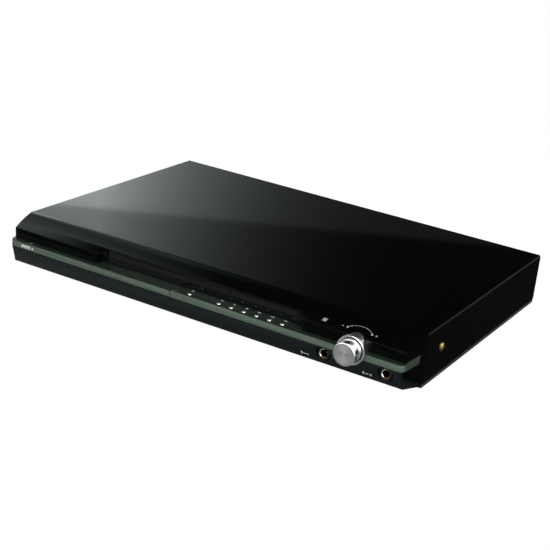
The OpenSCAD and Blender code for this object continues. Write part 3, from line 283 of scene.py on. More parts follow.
def make_spun_group():
    """Rings about an axis along Y through Centre, as a lathe leaves them, their radius, and a fan
    by angle about the axis that is used as painted highlight and shade.
    """
    group, inp, out = new_group(
        "Spun rings",
        [
            ("Vector", "NodeSocketVector", None),
            ("Centre", "NodeSocketVector", (0.0, 0.0, 0.0)),
            ("Pitch", "NodeSocketFloat", 9000.0),
        ],
        ["Rings", "Radius", "Painted fan"],
    )
    offset = vector_maths(group, "SUBTRACT", inp["Vector"], inp["Centre"])["Vector"]
    parts = add_node(group, "SeparateXYZ", Vector=offset).outputs
    flat = add_node(group, "CombineXYZ", X=parts["X"], Z=parts["Z"])
    radius = vector_maths(group, "LENGTH", flat.outputs["Vector"])["Value"]
    rings = add_node(group, "TexNoise", Scale=1.0, Detail=4.0)
    rings.noise_dimensions = "1D"
    feed(group, rings.inputs["W"], maths(group, "MULTIPLY", radius, inp["Pitch"]))
    # a fan by angle, used as painted highlight and shade on the spun face
    angle = maths(group, "ARCTAN2", parts["Z"], parts["X"])
    painted_fan = maths(group, "COSINE", maths(group, "MULTIPLY", angle, 2.0))
    for label, value in (("Rings", rings.outputs["Fac"]), ("Radius", radius), ("Painted fan", painted_fan)):
        feed(group, out[label], value)
    return group


def make_band_group():
    """1 where the chosen coordinate lies between two limits, else 0."""
    group, inp, out = new_group(
        "Band along an axis",
        [
            ("Vector", "NodeSocketVector", None),
            ("Axis", "NodeSocketVector", (0.0, 1.0, 0.0)),
            ("From", "NodeSocketFloat", 0.0),
            ("To", "NodeSocketFloat", 0.0),
        ],
        ["Mask"],
    )
    along = vector_maths(group, "DOT_PRODUCT", inp["Vector"], inp["Axis"])["Value"]
    above = maths(group, "GREATER_THAN", along, inp["From"])
    below = maths(group, "LESS_THAN", along, inp["To"])
    feed(group, out["Mask"], maths(group, "MULTIPLY", above, below))
    return group


GROUPS = {}


def place_group(material, name, **values):
    """One of the groups above, on the piece's own coordinates; gives its outputs."""
    nodes = material.node_tree.nodes
    node = nodes.new("ShaderNodeGroup")
    node.node_tree = GROUPS[name]
    for label, value in values.items():
        node.inputs[label.replace("_", " ")].default_value = value
    coords = nodes.get("Place") or nodes.new("ShaderNodeTexCoord")
    coords.name = "Place"
    material.node_tree.links.new(coords.outputs["Object"], node.inputs["Vector"])
    return node.outputs


# ---- Materials ----

DUST_COLOUR = (0.16, 0.155, 0.15)


def blank(name, roughness=0.5, metallic=0.0, **sockets):
    """A new material and its shader."""
    material = bpy.data.materials.new(name)
    material.use_nodes = True
    shader = material.node_tree.nodes["Principled BSDF"]
    shader.inputs["Roughness"].default_value = roughness
    shader.inputs["Metallic"].default_value = metallic
    for label, value in sockets.items():
        shader.inputs[label.replace("_", " ")].default_value = value
    return material, shader


def mix_colour(material, fac, first, second):
    """A colour between two, by a mask socket; either may be a socket or a colour."""
    node = add_node(material.node_tree, "Mix", Factor=fac)
    node.data_type = "RGBA"
    for value, socket in ((first, node.inputs[6]), (second, node.inputs[7])):
        if not isinstance(value, bpy.types.NodeSocket):
            value = (*value, 1.0)
        feed(material.node_tree, socket, value)
    return node.outputs[2]


def ranged(material, mask, low, high):
    """A noise mask, whose values lie mostly in 0.3 to 0.7, spread over low to high."""
    return remap(material.node_tree, mask, 0.3, 0.7, low, high)


def bumped(material, shader, height, distance):
    bump = add_node(material.node_tree, "Bump", Height=height, Distance=distance, Strength=1.0)
    feed(material.node_tree, shader.inputs["Normal"], bump.outputs["Normal"])


def scaled_colour(colour, share):
    return tuple(min(1.0, c * share) for c in colour)


def toned(material, mask, colour, low, high):
    """The colour, from its low share to its high one, by a mask."""
    return mix_colour(material, mask, scaled_colour(colour, low), scaled_colour(colour, high))


def finish(material, shader, colour, roughness):
    feed(material.node_tree, shader.inputs["Base Color"], colour)
    feed(material.node_tree, shader.inputs["Roughness"], roughness)
    return material


def plastic(name, colour, roughness, grain=0.0, grain_scale=2500.0, dust=0.15, **sockets):
    """Moulded or painted surface: mottled gloss, fine grain and a little dust."""
    material, shader = blank(name, roughness, **sockets)
    grains = place_group(material, "Grain and mottle", Grain_scale=grain_scale)
    specks = place_group(material, "Dust and scuffs", Amount=dust)
    tone = toned(material, grains["Mottle"], colour, 0.86, 1.14)
    dusty = mix_colour(material, specks["Mask"], tone, DUST_COLOUR)
    if grain:
        bumped(material, shader, grains["Height"], grain)
    rough = ranged(material, grains["Mottle"], roughness * 0.85, roughness * 1.2)
    return finish(material, shader, dusty, rough)


def brushed(
    name, colour, roughness, stretch=(20.0, 2500.0, 2500.0), depth=0.004 * MM, metallic=1.0
):
    """Metal with fine lines along one axis."""
    material, shader = blank(name, roughness, metallic)
    lines = place_group(material, "Brushed lines", Stretch=stretch)["Lines"]
    mottle = place_group(material, "Grain and mottle")["Mottle"]
    tone = toned(material, lines, colour, 0.86, 1.12)
    stain = ranged(material, mottle, 0.0, 0.25)
    stained = mix_colour(material, stain, tone, scaled_colour(colour, 0.7))
    bumped(material, shader, lines, depth)
    rough = ranged(material, lines, roughness * 0.8, roughness * 1.25)
    return finish(material, shader, stained, rough)


def spun(name, colour, centre, roughness, painted_fan, side_y, side_roughness=0.22):
    """Turned metal with rings about an axis along Y, and a fan of painted highlight and shade
    in its colour by angle about the axis; behind side_y it is smoother and plain."""
    material, shader = blank(name, roughness, 1.0)
    tree = material.node_tree
    rings = place_group(material, "Spun rings", Centre=tuple(centre))
    tone = toned(material, rings["Rings"], colour, 0.7, 1.15)
    # painted highlight and shade: two opposite sectors of the face are darkened, as a fan of light
    # on turned metal
    fan_of_painted_light = remap(tree, rings["Painted fan"], -1.0, 1.0, 0.0, painted_fan)
    fan_painted_colour = mix_colour(material, fan_of_painted_light, tone, scaled_colour(colour, 0.35))
    rough = ranged(material, rings["Rings"], roughness * 0.8, roughness * 1.3)
    side = place_group(material, "Band along an axis", From=side_y, To=1.0)["Mask"]
    sided = mix_colour(material, side, fan_painted_colour, scaled_colour(colour, 0.9))
    smoother = add_node(tree, "Mix", Factor=side, A=rough, B=side_roughness)
    bumped(material, shader, rings["Rings"], 0.01 * MM)
    return finish(material, shader, sided, smoother.outputs["Result"])


def banded(name, base, bands, roughness):
    """A piece of several colours: each band is (axis, from, to, colour, metal)."""
    material, shader = blank(name, roughness)
    tree = material.node_tree
    mottle = place_group(material, "Grain and mottle")["Mottle"]
    colour = toned(material, mottle, base, 0.85, 1.15)
    metal = None
    for axis, low, high, tone, is_metal in bands:
        mask = place_group(material, "Band along an axis", Axis=axis, From=low, To=high)["Mask"]
        colour = mix_colour(material, mask, colour, tone)
        if is_metal:
            metal = mask if metal is None else maths(tree, "MAXIMUM", metal, mask)
    if metal is not None:
        feed(tree, shader.inputs["Metallic"], metal)
    rough = ranged(material, mottle, roughness * 0.8, roughness * 1.2)
    return finish(material, shader, colour, rough)


def sleeved(name, centre, radius, outer, inner, tilt=-0.35):
    """Plastic with a plated sleeve about an axis along Y, out to this radius: the left of
    the sleeve is a painted highlight, the rest painted shade in dark brass. Tilt turns their
    border."""
    material, shader = blank(name, 0.22)
    tree = material.node_tree
    rings = place_group(material, "Spun rings", Centre=tuple(centre), Pitch=2500.0)
    inside = maths(tree, "LESS_THAN", rings["Radius"], radius)
    middle = centre.x + tilt * centre.z
    # painted highlight: a slanted band on the sleeve's left takes the bright inner colour
    painted_highlight_band = place_group(
        material,
        "Band along an axis",
        Axis=(1.0, 0.0, tilt),
        From=middle - 2 * radius,
        To=middle - 0.22 * radius,
    )
    # painted shade: dark brass, varied by the rings, on all of the sleeve outside that band
    painted_shade_colour = mix_colour(material, rings["Rings"], (0.05, 0.035, 0.012), (0.16, 0.11, 0.04))
    plated = mix_colour(material, painted_highlight_band["Mask"], painted_shade_colour, inner)
    feed(tree, shader.inputs["Metallic"], inside)
    rough = ranged(material, rings["Rings"], 0.14, 0.26)
    return finish(material, shader, mix_colour(material, inside, outer, plated), rough)


# ---- Mesh helpers ----


def deselect_all():
    for obj in bpy.context.selected_objects:
        obj.select_set(False)
    bpy.context.view_layer.objects.active = None


def pick(obj):
    deselect_all()
    obj.select_set(True)
    bpy.context.view_layer.objects.active = obj
    return obj


def paint(obj, material):
    obj.data.materials.clear()
    obj.data.materials.append(material)
    return obj


def dress(nodes, material):
    for node in nodes:
        paint(NODES[node], material)


def bevel_where(obj, test, width, segments):
    """Bevels the edges whose two ends both pass the test."""
    pick(obj)
    mesh = obj.data
    bpy.ops.object.mode_set(mode="EDIT")
    bpy.ops.mesh.select_mode(type="EDGE")
    bpy.ops.mesh.select_all(action="DESELECT")
    bpy.ops.object.mode_set(mode="OBJECT")
    found = False
    for edge in mesh.edges:
        edge.select = all(test(mesh.vertices[i].co) for i in edge.vertices)
        found = found or edge.select
    if not found:
        raise RuntimeError("no edges to bevel on " + obj.name)
    bpy.ops.object.mode_set(mode="EDIT")
    bpy.ops.mesh.bevel(offset=width, segments=segments, affect="EDGES", clamp_overlap=True)
    bpy.ops.object.mode_set(mode="OBJECT")


def rounded_copy(node, name, width, segments=2, smooth=22.0, shape=None):
    """A copy of a solid with its loose triangles merged and its edges rounded;
    shape is done to it before the rounding."""
    deselect_all()
    obj = NODES[node].copy()
    obj.data = NODES[node].data.copy()
    obj.parent = None
    obj.matrix_world = Matrix.Identity(4)
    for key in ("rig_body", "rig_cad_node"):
        if key in obj:
            del obj[key]
    obj.name = name
    obj.data.name = name
    bpy.context.scene.collection.objects.link(obj)
    pick(obj)
    bpy.ops.object.mode_set(mode="EDIT")
    bpy.ops.mesh.select_all(action="SELECT")
    bpy.ops.mesh.customdata_custom_splitnormals_clear()
    bpy.ops.mesh.remove_doubles(threshold=0.002 * MM)
    bpy.ops.mesh.dissolve_limited(angle_limit=math.radians(0.4))
    bpy.ops.object.mode_set(mode="OBJECT")
    if shape:
        shape(obj)
    rounding = obj.modifiers.new("Rounded edges", "BEVEL")
    rounding.width = width
    rounding.segments = segments
    rounding.limit_method = "ANGLE"
    rounding.angle_limit = math.radians(25.0)
    rounding.miter_outer = "MITER_ARC"
    rounding.harden_normals = False
    bpy.ops.object.modifier_apply(modifier=rounding.name)
    bpy.ops.object.shade_smooth_by_angle(angle=math.radians(smooth))
    return settle(obj, node)


def settle(obj, node):
    """The piece stands for this solid and moves with its body."""
    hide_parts(node)
    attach(obj, BODY_OF[node])
    return obj


def second_coat(obj, material, test):
    """Another material on the faces that pass the test."""
    obj.data.materials.append(material)
    for face in obj.data.polygons:
        if test(face):
            face.material_index = 1


def apply_place(obj):
    pick(obj)
    bpy.ops.object.transform_apply(location=True, rotation=True, scale=True)
    return obj


# Faces that carry printed marks: (y, z) at the lower and at the upper edge
FACES = {
    "lower": ((-28.5, 7.5), (-34.3, 25.0)),
    "ledge": ((-35.5, 31.0), (-20.5, 32.095)),
    "slope": ((-29.5, 41.5), (-20.0, 45.8)),
    "brow": ((-20.0, 45.8), (-10.0, 48.7)),
}
# Marks further along the slope than this lie on the brow beyond it
SLOPE_END = 10.4
BROW_START = 10.35


def face_place(face, x, along, turn):
    """Place and turn of a mark; along is its distance from the face's lower edge."""
    (y0, z0), (y1, z1) = FACES[face]
    span = math.hypot(y1 - y0, z1 - z0)
    up = Vector((0.0, (y1 - y0) / span, (z1 - z0) / span))
    right = Vector((1.0, 0.0, 0.0))
    spot = at(x, y0 + up.y * along, z0 + up.z * along)
    basis = Matrix((right, up, right.cross(up))).transposed()
    return spot, (basis @ Matrix.Rotation(math.radians(turn), 3, "Z")).to_euler()


def print_depth():
    """Marks stand on their face and reach as far into it."""
    return 2 * bpy.context.scene.player_sizes.print_height


def bar(face, x, along, width, height, turn=0.0):
    spot, rotation = face_place(face, x, along, turn)
    deselect_all()
    bpy.ops.mesh.primitive_cube_add(size=1.0, location=spot, rotation=rotation)
    obj = bpy.context.object
    obj.scale = (width * MM, height * MM, print_depth())
    return apply_place(obj)


def dot(face, x, along, radius, sides=16, turn=0.0):
    spot, rotation = face_place(face, x, along, turn)
    deselect_all()
    bpy.ops.mesh.primitive_cylinder_add(
        vertices=sides, radius=radius * MM, depth=print_depth(), location=spot, rotation=rotation
    )
    return apply_place(bpy.context.object)


def on_slope(x, along, *size):
    """A bar on the slope, or on the brow beyond it."""
    if along > SLOPE_END:
        return bar("brow", x, along - BROW_START, *size)
    return bar("slope", x, along, *size)


def frame_mark(face, x, along, width, height, line):
    """A thin rectangle drawn with four bars."""
    return [
        bar(face, x, along + (height - line) / 2, width, line),
        bar(face, x, along - (height - line) / 2, width, line),
        bar(face, x - (width - line) / 2, along, line, height),
        bar(face, x + (width - line) / 2, along, line, height),
    ]


def joined(name, parts, body, material):
    deselect_all()
    for part in parts:
        part.select_set(True)
    bpy.context.view_layer.objects.active = parts[0]
    bpy.ops.object.join()
    obj = bpy.context.object
    obj.name = name
    obj.data.name = name
    paint(obj, material)
    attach(obj, body)
    return obj


# ---- Operators ----

UP, RIGHT, BACK = (0.0, 0.0, 1.0), (1.0, 0.0, 0.0), (0.0, 1.0, 0.0)

# The cover's folds: their normals lean at least this far both up and sideways
FOLD_NORMAL = 0.12
# The ledge's edge radius, as a share of the fine edge
LEDGE_EDGE_SHARE = 1.6

# From here on in mm. Crease under the moulding's slope, as (y, z), and its radius
CREASE, CREASE_REACH, CREASE_RADIUS = (-29.5, 41.5), 0.15, 2.4
# (y, z) limits of the slot's inside
SLOT_BOTTOM, SLOT_TOP = (-27.5, 32.6), (0, 42.6)
WINDOW_EDGE = 0.2
# Depth of the knob's spun face
KNOB_FACE = 0.7
# The jacks' front, and the radii of their bore and of the plated sleeve in it
JACK_FACE_Y, JACK_BORE, SLEEVE_RADIUS = -31.0, 3.25, 4.0
MOUTH_REACH, MOUTH_CHAMFER = 0.05, 1.2
# The arc's middle lies on the knob's axis; its reach to each side is in degrees
ARC_X, ARC_ALONG, ARC_RADIUS, ARC_REACH, ARC_STEPS = 162.0, -2.2, 15.2, 51.0, 30
KEYS_X = [-5.5] + [25.8 + 13.16 * i for i in range(6)]
BOARD_TOP, KEY_BOARD_TOP, CORE_TOP = 9.65, 23.05, 15.7
# The rear panel's outside, and how far the sockets' barrels stand behind it
REAR_Y, BARREL_DEPTH = 271.0, 1.65


class PlayerPiece:
    bl_options = {"REGISTER", "UNDO"}

    @property
    def sizes(self):
        return bpy.context.scene.player_sizes

    @property
    def colours(self):
        return bpy.context.scene.player_colours


class PLAYER_OT_case(PlayerPiece, bpy.types.Operator):
    """Painted cover, plated chassis, rear panel, feet and screws"""

    bl_idname = "player.case"
    bl_label = "Case"

    def execute(self, context):
        black = tuple(self.colours.cover)
        coat = {"grain": 0.0003 * MM, "grain_scale": 1500.0, "dust": 0.03}
        dress(["top_cover"], plastic("cover_paint", black, 0.035, **coat))
        # the folds of the sheet are duller, so that no bright line runs along them
        second_coat(
            NODES["top_cover"],
            plastic("cover_paint_fold", black, 0.3, Specular_IOR_Level=0.05, **coat),
            lambda face: abs(face.normal.x) > FOLD_NORMAL and face.normal.z > FOLD_NORMAL,
        )
        zinc = brushed("chassis_zinc", (0.42, 0.43, 0.42), 0.38, (400.0, 400.0, 400.0))
        dress(["chassis_base"], zinc)
        rear = plastic("rear_paint", (0.012, 0.012, 0.012), 0.45, 0.006 * MM, 1800.0, 0.2)
        dress(["rear_panel"], rear)
        rubber = plastic("foot_rubber", (0.012, 0.012, 0.012), 0.75, 0.02 * MM, 900.0, 0.4)
        dress(["foot_1", "foot_2", "foot_3", "foot_4"], rubber)
        screw = (0.004 * MM, 900.0, 0.1)
        dress(
            ["cover_screws"],
            plastic("screw_passivated", (0.72, 0.60, 0.16), 0.32, *screw, Metallic=0.9),
        )
        dress(
            ["inner_screws"],
            plastic("screw_plated", (0.42, 0.42, 0.4), 0.35, *screw, Metallic=1.0),
        )
        return {"FINISHED"}


class PLAYER_OT_moulding(PlayerPiece, bpy.types.Operator):
    """Front moulding with rounded edges"""

    bl_idname = "player.moulding"
    bl_label = "Front moulding"

    def execute(self, context):
        black = tuple(self.colours.moulding)
        gloss = plastic(
            "moulding_gloss",
            black,
            0.1,
            grain=0.0006 * MM,
            grain_scale=700.0,
            dust=0.05,
            Specular_IOR_Level=0.25,
            Specular_Tint=(0.7, 1.0, 1.05, 1.0),
        )
        # inside the slot it is duller
        shade = plastic(
            "moulding_shade",
            black,
            0.14,
            grain=0.0003 * MM,
            grain_scale=700.0,
            dust=0.02,
            Specular_IOR_Level=0.06,
        )
        crease = at(0, *CREASE)

        def on_crease(point):
            return math.hypot(point.y - crease.y, point.z - crease.z) < CREASE_REACH * MM

        obj = rounded_copy(
            "front_bezel",
            "front_moulding",
            self.sizes.moulding_edge,
            3,
            smooth=35.0,
            shape=lambda obj: bevel_where(obj, on_crease, CREASE_RADIUS * MM, 6),
        )
        under, over = at(0, *SLOT_BOTTOM), at(0, *SLOT_TOP)
        second_coat(
            paint(obj, gloss),
            shade,
            lambda face: face.center.y < under.y and under.z < face.center.z < over.z,
        )
        return {"FINISHED"}


class PLAYER_OT_ledge(PlayerPiece, bpy.types.Operator):
    """The two halves of the metallic ledge"""

    bl_idname = "player.ledge"
    bl_label = "Ledge"

    def execute(self, context):
        def coated(name, share):
            return plastic(
                name,
                scaled_colour(tuple(self.colours.ledge), share),
                0.3,
                grain=0.001 * MM,
                grain_scale=3000.0,
                dust=0.05,
                Metallic=0.75,
                Coat_Weight=0.35,
                Coat_Roughness=0.08,
            )

        # painted light and shade: the lip is a lit copy of the paint and the top a shaded copy, so
        # the top looks darker than its lip
        lip, top = coated("ledge_metallic_lip_painted_light", 1.45), coated("ledge_metallic_top_painted_shade", 0.55)
        edge = LEDGE_EDGE_SHARE * self.sizes.metal_edge
        for side in ("left", "right"):
            obj = rounded_copy("ledge_trim_" + side, "ledge_" + side, edge, 3, smooth=50.0)
            second_coat(paint(obj, lip), top, lambda face: face.normal.z > 0.9)
        return {"FINISHED"}


class PLAYER_OT_slot(PlayerPiece, bpy.types.Operator):
    """Tray door, smoked window and the display behind it"""

    bl_idname = "player.slot"
    bl_label = "Slot"

    def execute(self, context):
        gloss = {"grain_scale": 700.0, "dust": 0.02, "Specular_IOR_Level": 0.12}
        door = plastic("door_gloss", (0.0012, 0.0013, 0.0014), 0.09, 0.0003 * MM, **gloss)
        paint(rounded_copy("tray_door", "tray_door_front", self.sizes.metal_edge), door)
        smoked = plastic("smoked_window", (0.0012, 0.0013, 0.0016), 0.05, **gloss)
        window = rounded_copy("display_window", "display_window_front", WINDOW_EDGE * MM)
        paint(window, smoked)
        glass = plastic("display_glass", (0.03, 0.035, 0.04), 0.2, 0.001 * MM, 900.0, 0.1)
        dress(["display_module"], glass)
        return {"FINISHED"}


class PLAYER_OT_keys(PlayerPiece, bpy.types.Operator):
    """Chrome dome keys, power bar and standby lamp"""

    bl_idname = "player.keys"
    bl_label = "Keys"

    def execute(self, context):
        bright = tuple(self.colours.bright)
        chrome = brushed("key_chrome", bright, 0.12, (300.0, 300.0, 300.0), 0.0008 * MM)
        for key in ["eject_key"] + ["transport_key_%d" % i for i in range(1, 7)]:
            NODES[key].data.shade_smooth()
            paint(NODES[key], chrome)
        satin = brushed("bar_plated", bright, 0.42, (2500.0, 60.0, 2500.0), 0.001 * MM)
        paint(rounded_copy("power_bar", "power_bar_front", self.sizes.control_edge, 3), satin)
        lamp = plastic("lamp_clear", (0.55, 0.56, 0.52), 0.15, 0.0, 900.0, 0.0, Coat_Weight=0.5)
        dress(["standby_lamp"], lamp)
        return {"FINISHED"}


class PLAYER_OT_knob(PlayerPiece, bpy.types.Operator):
    """Spun volume knob in its plated collar"""

    bl_idname = "player.knob"
    bl_label = "Volume knob"

    def execute(self, context):
        bright = tuple(self.colours.bright)
        low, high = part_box("volume_knob")
        # the spun face carries a painted fan of highlight and shade
        metal = spun(
            "knob_spun", bright, (low + high) / 2, 0.32, painted_fan=0.55, side_y=low.y + KNOB_FACE * MM
        )
        knob = rounded_copy("volume_knob", "volume_knob_turned", self.sizes.control_edge, 3)
        paint(knob, metal)
        plated = brushed("collar_plated", bright, 0.3, (500.0, 3000.0, 500.0), 0.001 * MM)
        collar = rounded_copy("volume_collar", "volume_collar_ring", self.sizes.metal_edge, 3)
        paint(collar, plated)
        turned = brushed("shaft_turned", (0.6, 0.6, 0.58), 0.3, (3000.0, 100.0, 3000.0))
        dress(["volume_shaft"], turned)
        pot = brushed("pot_plated", (0.4, 0.4, 0.4), 0.35, (400.0, 400.0, 400.0))
        dress(["volume_pot"], pot)
        return {"FINISHED"}


class PLAYER_OT_jacks(PlayerPiece, bpy.types.Operator):
    """Microphone jacks: plated noses on black bodies"""

    bl_idname = "player.jacks"
    bl_label = "Microphone jacks"

    def execute(self, context):
        face_y = at(0, JACK_FACE_Y, 0).y
        for i in (1, 2):
            node = "mic_jack_%d" % i
            low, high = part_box(node)
            centre = (low + high) / 2

            def on_mouth(point, centre=centre):
                gap = math.hypot(point.x - centre.x, point.z - centre.z) - JACK_BORE * MM
                return max(abs(point.y - face_y), abs(gap)) < MOUTH_REACH * MM

            obj = rounded_copy(
                node,
                node + "_body",
                self.sizes.metal_edge,
                smooth=40.0,
                shape=lambda obj: bevel_where(obj, on_mouth, MOUTH_CHAMFER * MM, 3),
            )
            # each sleeve has a painted highlight at its left and painted shade on the rest
            black, plating = (0.004, 0.0045, 0.005), (0.95, 0.9, 0.78)
            paint(obj, sleeved("jack_%d_sleeve" % i, centre, SLEEVE_RADIUS * MM, black, plating))
        return {"FINISHED"}


class PLAYER_OT_marks(PlayerPiece, bpy.types.Operator):
    """Plain printed marks beside the keys, the knob and the jacks"""

    bl_idname = "player.marks"
    bl_label = "Printed marks"

    def execute(self, context):
        white = plastic("print_white", (0.62, 0.64, 0.64), 0.5, 0.0005 * MM, 3000.0, 0.05)
        parts = self.volume_scale()
        # small square on the slope
        parts += frame_mark("slope", 128.2, 7.6, 3.8, 3.8, 0.5)
        parts.append(bar("slope", 128.2, 7.6, 1.9, 1.9))
        parts += self.key_symbols()
        # small dash behind the power bar
        parts.append(bar("ledge", -188.1, 3.6, 3.6, 0.7))
        parts += self.jack_labels()
        joined("printed_marks", parts, "case", white)
        return {"FINISHED"}

    @staticmethod
    def volume_scale():
        """Above the knob: an arc between two dots, a minus and a plus."""

        def on_arc(angle):
            return ARC_X + ARC_RADIUS * math.sin(angle), ARC_ALONG + ARC_RADIUS * math.cos(angle)

        parts = []
        for step in range(ARC_STEPS):
            angle = math.radians(((step + 0.5) * 2 / ARC_STEPS - 1) * ARC_REACH)
            parts.append(on_slope(*on_arc(angle), 1.05, 0.42, -math.degrees(angle)))
        for side in (-1, 1):
            parts.append(dot("slope", *on_arc(math.radians(side * ARC_REACH)), 0.95))
        parts.append(bar("slope", 145.9, 7.4, 1.7, 0.5))
        parts.append(bar("slope", 177.9, 7.2, 1.9, 0.5))
        parts.append(bar("slope", 177.9, 7.2, 0.5, 1.9))
        return parts

    @staticmethod
    def key_symbols():
        """Behind the keys: eject, play, pause, stop and the two skips."""
        eject, play, pause, stop, *skips = (x - 0.9 for x in KEYS_X)
        along = 12.6
        parts = [
            dot("ledge", eject, along + 0.4, 1.2, 3, 30),
            bar("ledge", eject, along - 0.9, 2.0, 0.5),
            dot("ledge", play, along, 1.4, 3, -90),
            bar("ledge", pause - 0.6, along, 0.6, 2.2),
            bar("ledge", pause + 0.6, along, 0.6, 2.2),
            bar("ledge", stop, along, 2.1, 2.1),
        ]
        for x, side in zip(skips, (-1, 1, 1)):
            parts.append(dot("ledge", x - 0.8, along, 1.2, 3, -90 * side))
            parts.append(dot("ledge", x + 0.8, along, 1.2, 3, -90 * side))
            parts.append(bar("ledge", x + side * 2.0, along, 0.45, 2.0))
        return parts

    @staticmethod
    def jack_labels():
        """Plain stand-ins for the words at the jacks: a microphone and a count."""
        parts = []
        for count, x in ((1, 117.0), (2, 177.1)):
            parts.append(dot("lower", x - 3.4, 5.2, 0.9))
            parts.append(bar("lower", x - 3.4, 3.9, 0.6, 1.5))
            parts.append(bar("lower", x - 0.2, 4.7, 3.2, 0.7))
            for tick in range(count):
                parts.append(bar("lower", x + 2.9 + 1.2 * tick, 4.7, 0.55, 2.0))
        return parts


class PLAYER_OT_tray(PlayerPiece, bpy.types.Operator):
    """Disc tray, loader, gears and belt"""

    bl_idname = "player.tray"
    bl_label = "Tray and loader"

    def execute(self, context):
        tray = plastic("tray_grained", (0.016, 0.016, 0.017), 0.38, 0.01 * MM, 1500.0, 0.1)
        paint(rounded_copy("disc_tray", "disc_tray_moulded", self.sizes.metal_edge), tray)
        loader = plastic("loader_grained", (0.035, 0.035, 0.038), 0.5, 0.012 * MM, 1200.0, 0.3)
        dress(["loader_frame"], loader)
        acetal = plastic(
            "acetal", (0.62, 0.6, 0.52), 0.4, 0.003 * MM, 900.0, 0.15, Subsurface_Weight=0.1
        )
        dress(["tray_gear", "pulley_gear", "motor_pulley"], acetal)
        rubber = plastic("belt_rubber", (0.01, 0.01, 0.01), 0.7, 0.01 * MM, 2500.0, 0.3)
        dress(["loading_belt"], rubber)
        can = brushed("motor_can", (0.5, 0.5, 0.5), 0.3, (500.0, 500.0, 60.0))
        dress(["loading_motor", "spindle_motor", "sled_motor"], can)
        return {"FINISHED"}


class PLAYER_OT_drive(PlayerPiece, bpy.types.Operator):
    """Disc drive: chassis, rods, pickup, turntable and clamp"""

    bl_idname = "player.drive"
    bl_label = "Disc drive"

    def execute(self, context):
        sheet = brushed("drive_sheet", (0.42, 0.43, 0.44), 0.35, (60.0, 2200.0, 2200.0))
        dress(["traverse_chassis", "clamp_bridge"], sheet)
        ground = brushed("ground_steel", (0.6, 0.61, 0.62), 0.14, (2500.0, 60.0, 2500.0))
        dress(["guide_rods", "lead_screw"], ground)
        casting = plastic(
            "pickup_casting", (0.12, 0.12, 0.13), 0.5, 0.02 * MM, 1500.0, 0.2, Metallic=0.8
        )
        dress(["pickup_body"], casting)
        hub = plastic("hub_plastic", (0.02, 0.02, 0.02), 0.55, 0.006 * MM, 1500.0, 0.2)
        dress(["turntable", "clamper"], hub)
        lens, shader = blank("coated_lens", 0.03, 0.0, IOR=1.5, Transmission_Weight=0.9)
        mottle = place_group(lens, "Grain and mottle")["Mottle"]
        tint = mix_colour(lens, mottle, (0.35, 0.42, 0.8), (0.5, 0.5, 0.75))
        feed(lens.node_tree, shader.inputs["Base Color"], tint)
        dress(["pickup_lens"], lens)
        return {"FINISHED"}


class PLAYER_OT_boards(PlayerPiece, bpy.types.Operator):
    """Circuit boards and what stands on them"""

    bl_idname = "player.boards"
    bl_label = "Boards"

    def execute(self, context):
        green, tan, core = (0.02, 0.09, 0.04), (0.26, 0.17, 0.07), (0.06, 0.06, 0.06)
        # (piece, material, colour below, height z, colour above it, metal, roughness)
        for piece, name, below, z, above, metal, roughness in (
            ("main_board", "board_green", green, BOARD_TOP, (0.02, 0.02, 0.022), False, 0.35),
            ("key_board", "key_board_green", green, KEY_BOARD_TOP, (0.55, 0.53, 0.48), False, 0.35),
            ("mic_board", "mic_board_green", green, None, None, False, 0.35),
            ("power_board", "power_board_tan", tan, BOARD_TOP, (0.35, 0.36, 0.37), True, 0.4),
            ("transformer", "transformer_wound", core, CORE_TOP, (0.42, 0.3, 0.06), False, 0.45),
        ):
            bands = [(UP, at(0, 0, z).z, 1.0, above, metal)] if z else []
            dress([piece], banded(name, below, bands, roughness))
        sleeve = plastic("capacitor_sleeve", (0.02, 0.025, 0.09), 0.25, 0.001 * MM, 900.0, 0.1)
        dress(["smoothing_capacitors"], sleeve)
        switch = plastic("switch_black", (0.02, 0.02, 0.02), 0.45, 0.004 * MM, 1500.0, 0.15)
        dress(["tact_switches", "power_switch"], switch)
        cable = brushed("flat_cable", (0.6, 0.62, 0.64), 0.5, (60.0, 1000.0, 60.0), metallic=0.0)
        dress(["ribbon_cable"], cable)
        return {"FINISHED"}


class PLAYER_OT_sockets(PlayerPiece, bpy.types.Operator):
    """Sockets at the rear and the mains inlet"""

    bl_idname = "player.sockets"
    bl_label = "Rear sockets"

    def execute(self, context):
        rear = at(0, REAR_Y, 0).y
        yellow, white, red = (0.6, 0.42, 0.02), (0.7, 0.7, 0.68), (0.45, 0.02, 0.02)
        # black inside the panel, and plated at the outer ends
        shared = [
            (BACK, -1.0, rear + 0.1 * MM, (0.015, 0.015, 0.015), False),
            (BACK, rear + BARREL_DEPTH * MM, 1.0, (0.75, 0.7, 0.55), True),
        ]
        rings = [
            (RIGHT, at(84, 0, 0).x, at(100, 0, 0).x, white, False),
            (RIGHT, at(100, 0, 0).x, 1.0, red, False),
        ]
        dress(["av_sockets"], banded("phono_rings_and_barrels", yellow, rings + shared, 0.3))
        orange = (RIGHT, at(134, 0, 0).x, at(146, 0, 0).x, (0.55, 0.16, 0.02), False)
        digital = banded(
            "digital_black_and_orange", (0.02, 0.02, 0.02), [orange] + shared, 0.35
        )
        dress(["digital_sockets"], digital)
        inlet = plastic("inlet_black", (0.014, 0.014, 0.014), 0.45, 0.01 * MM, 1500.0, 0.15)
        dress(["mains_inlet"], inlet)
        return {"FINISHED"}


# How brightly the floor shows in the object, by its distance in front (row y)
FLOOR_BANDS = (
    (-0.101, 0.014),
    (-0.145, 0.34),
    (-0.18, 0.38),
    (-0.195, 0.04),
    (-0.2215, 0.04),
    (-0.2255, 1.0),
    (-0.24, 1.0),
    (-0.248, 0.06),
    (-0.299, 0.06),
)


BANDS_START, BANDS_LENGTH = -0.1, 0.2
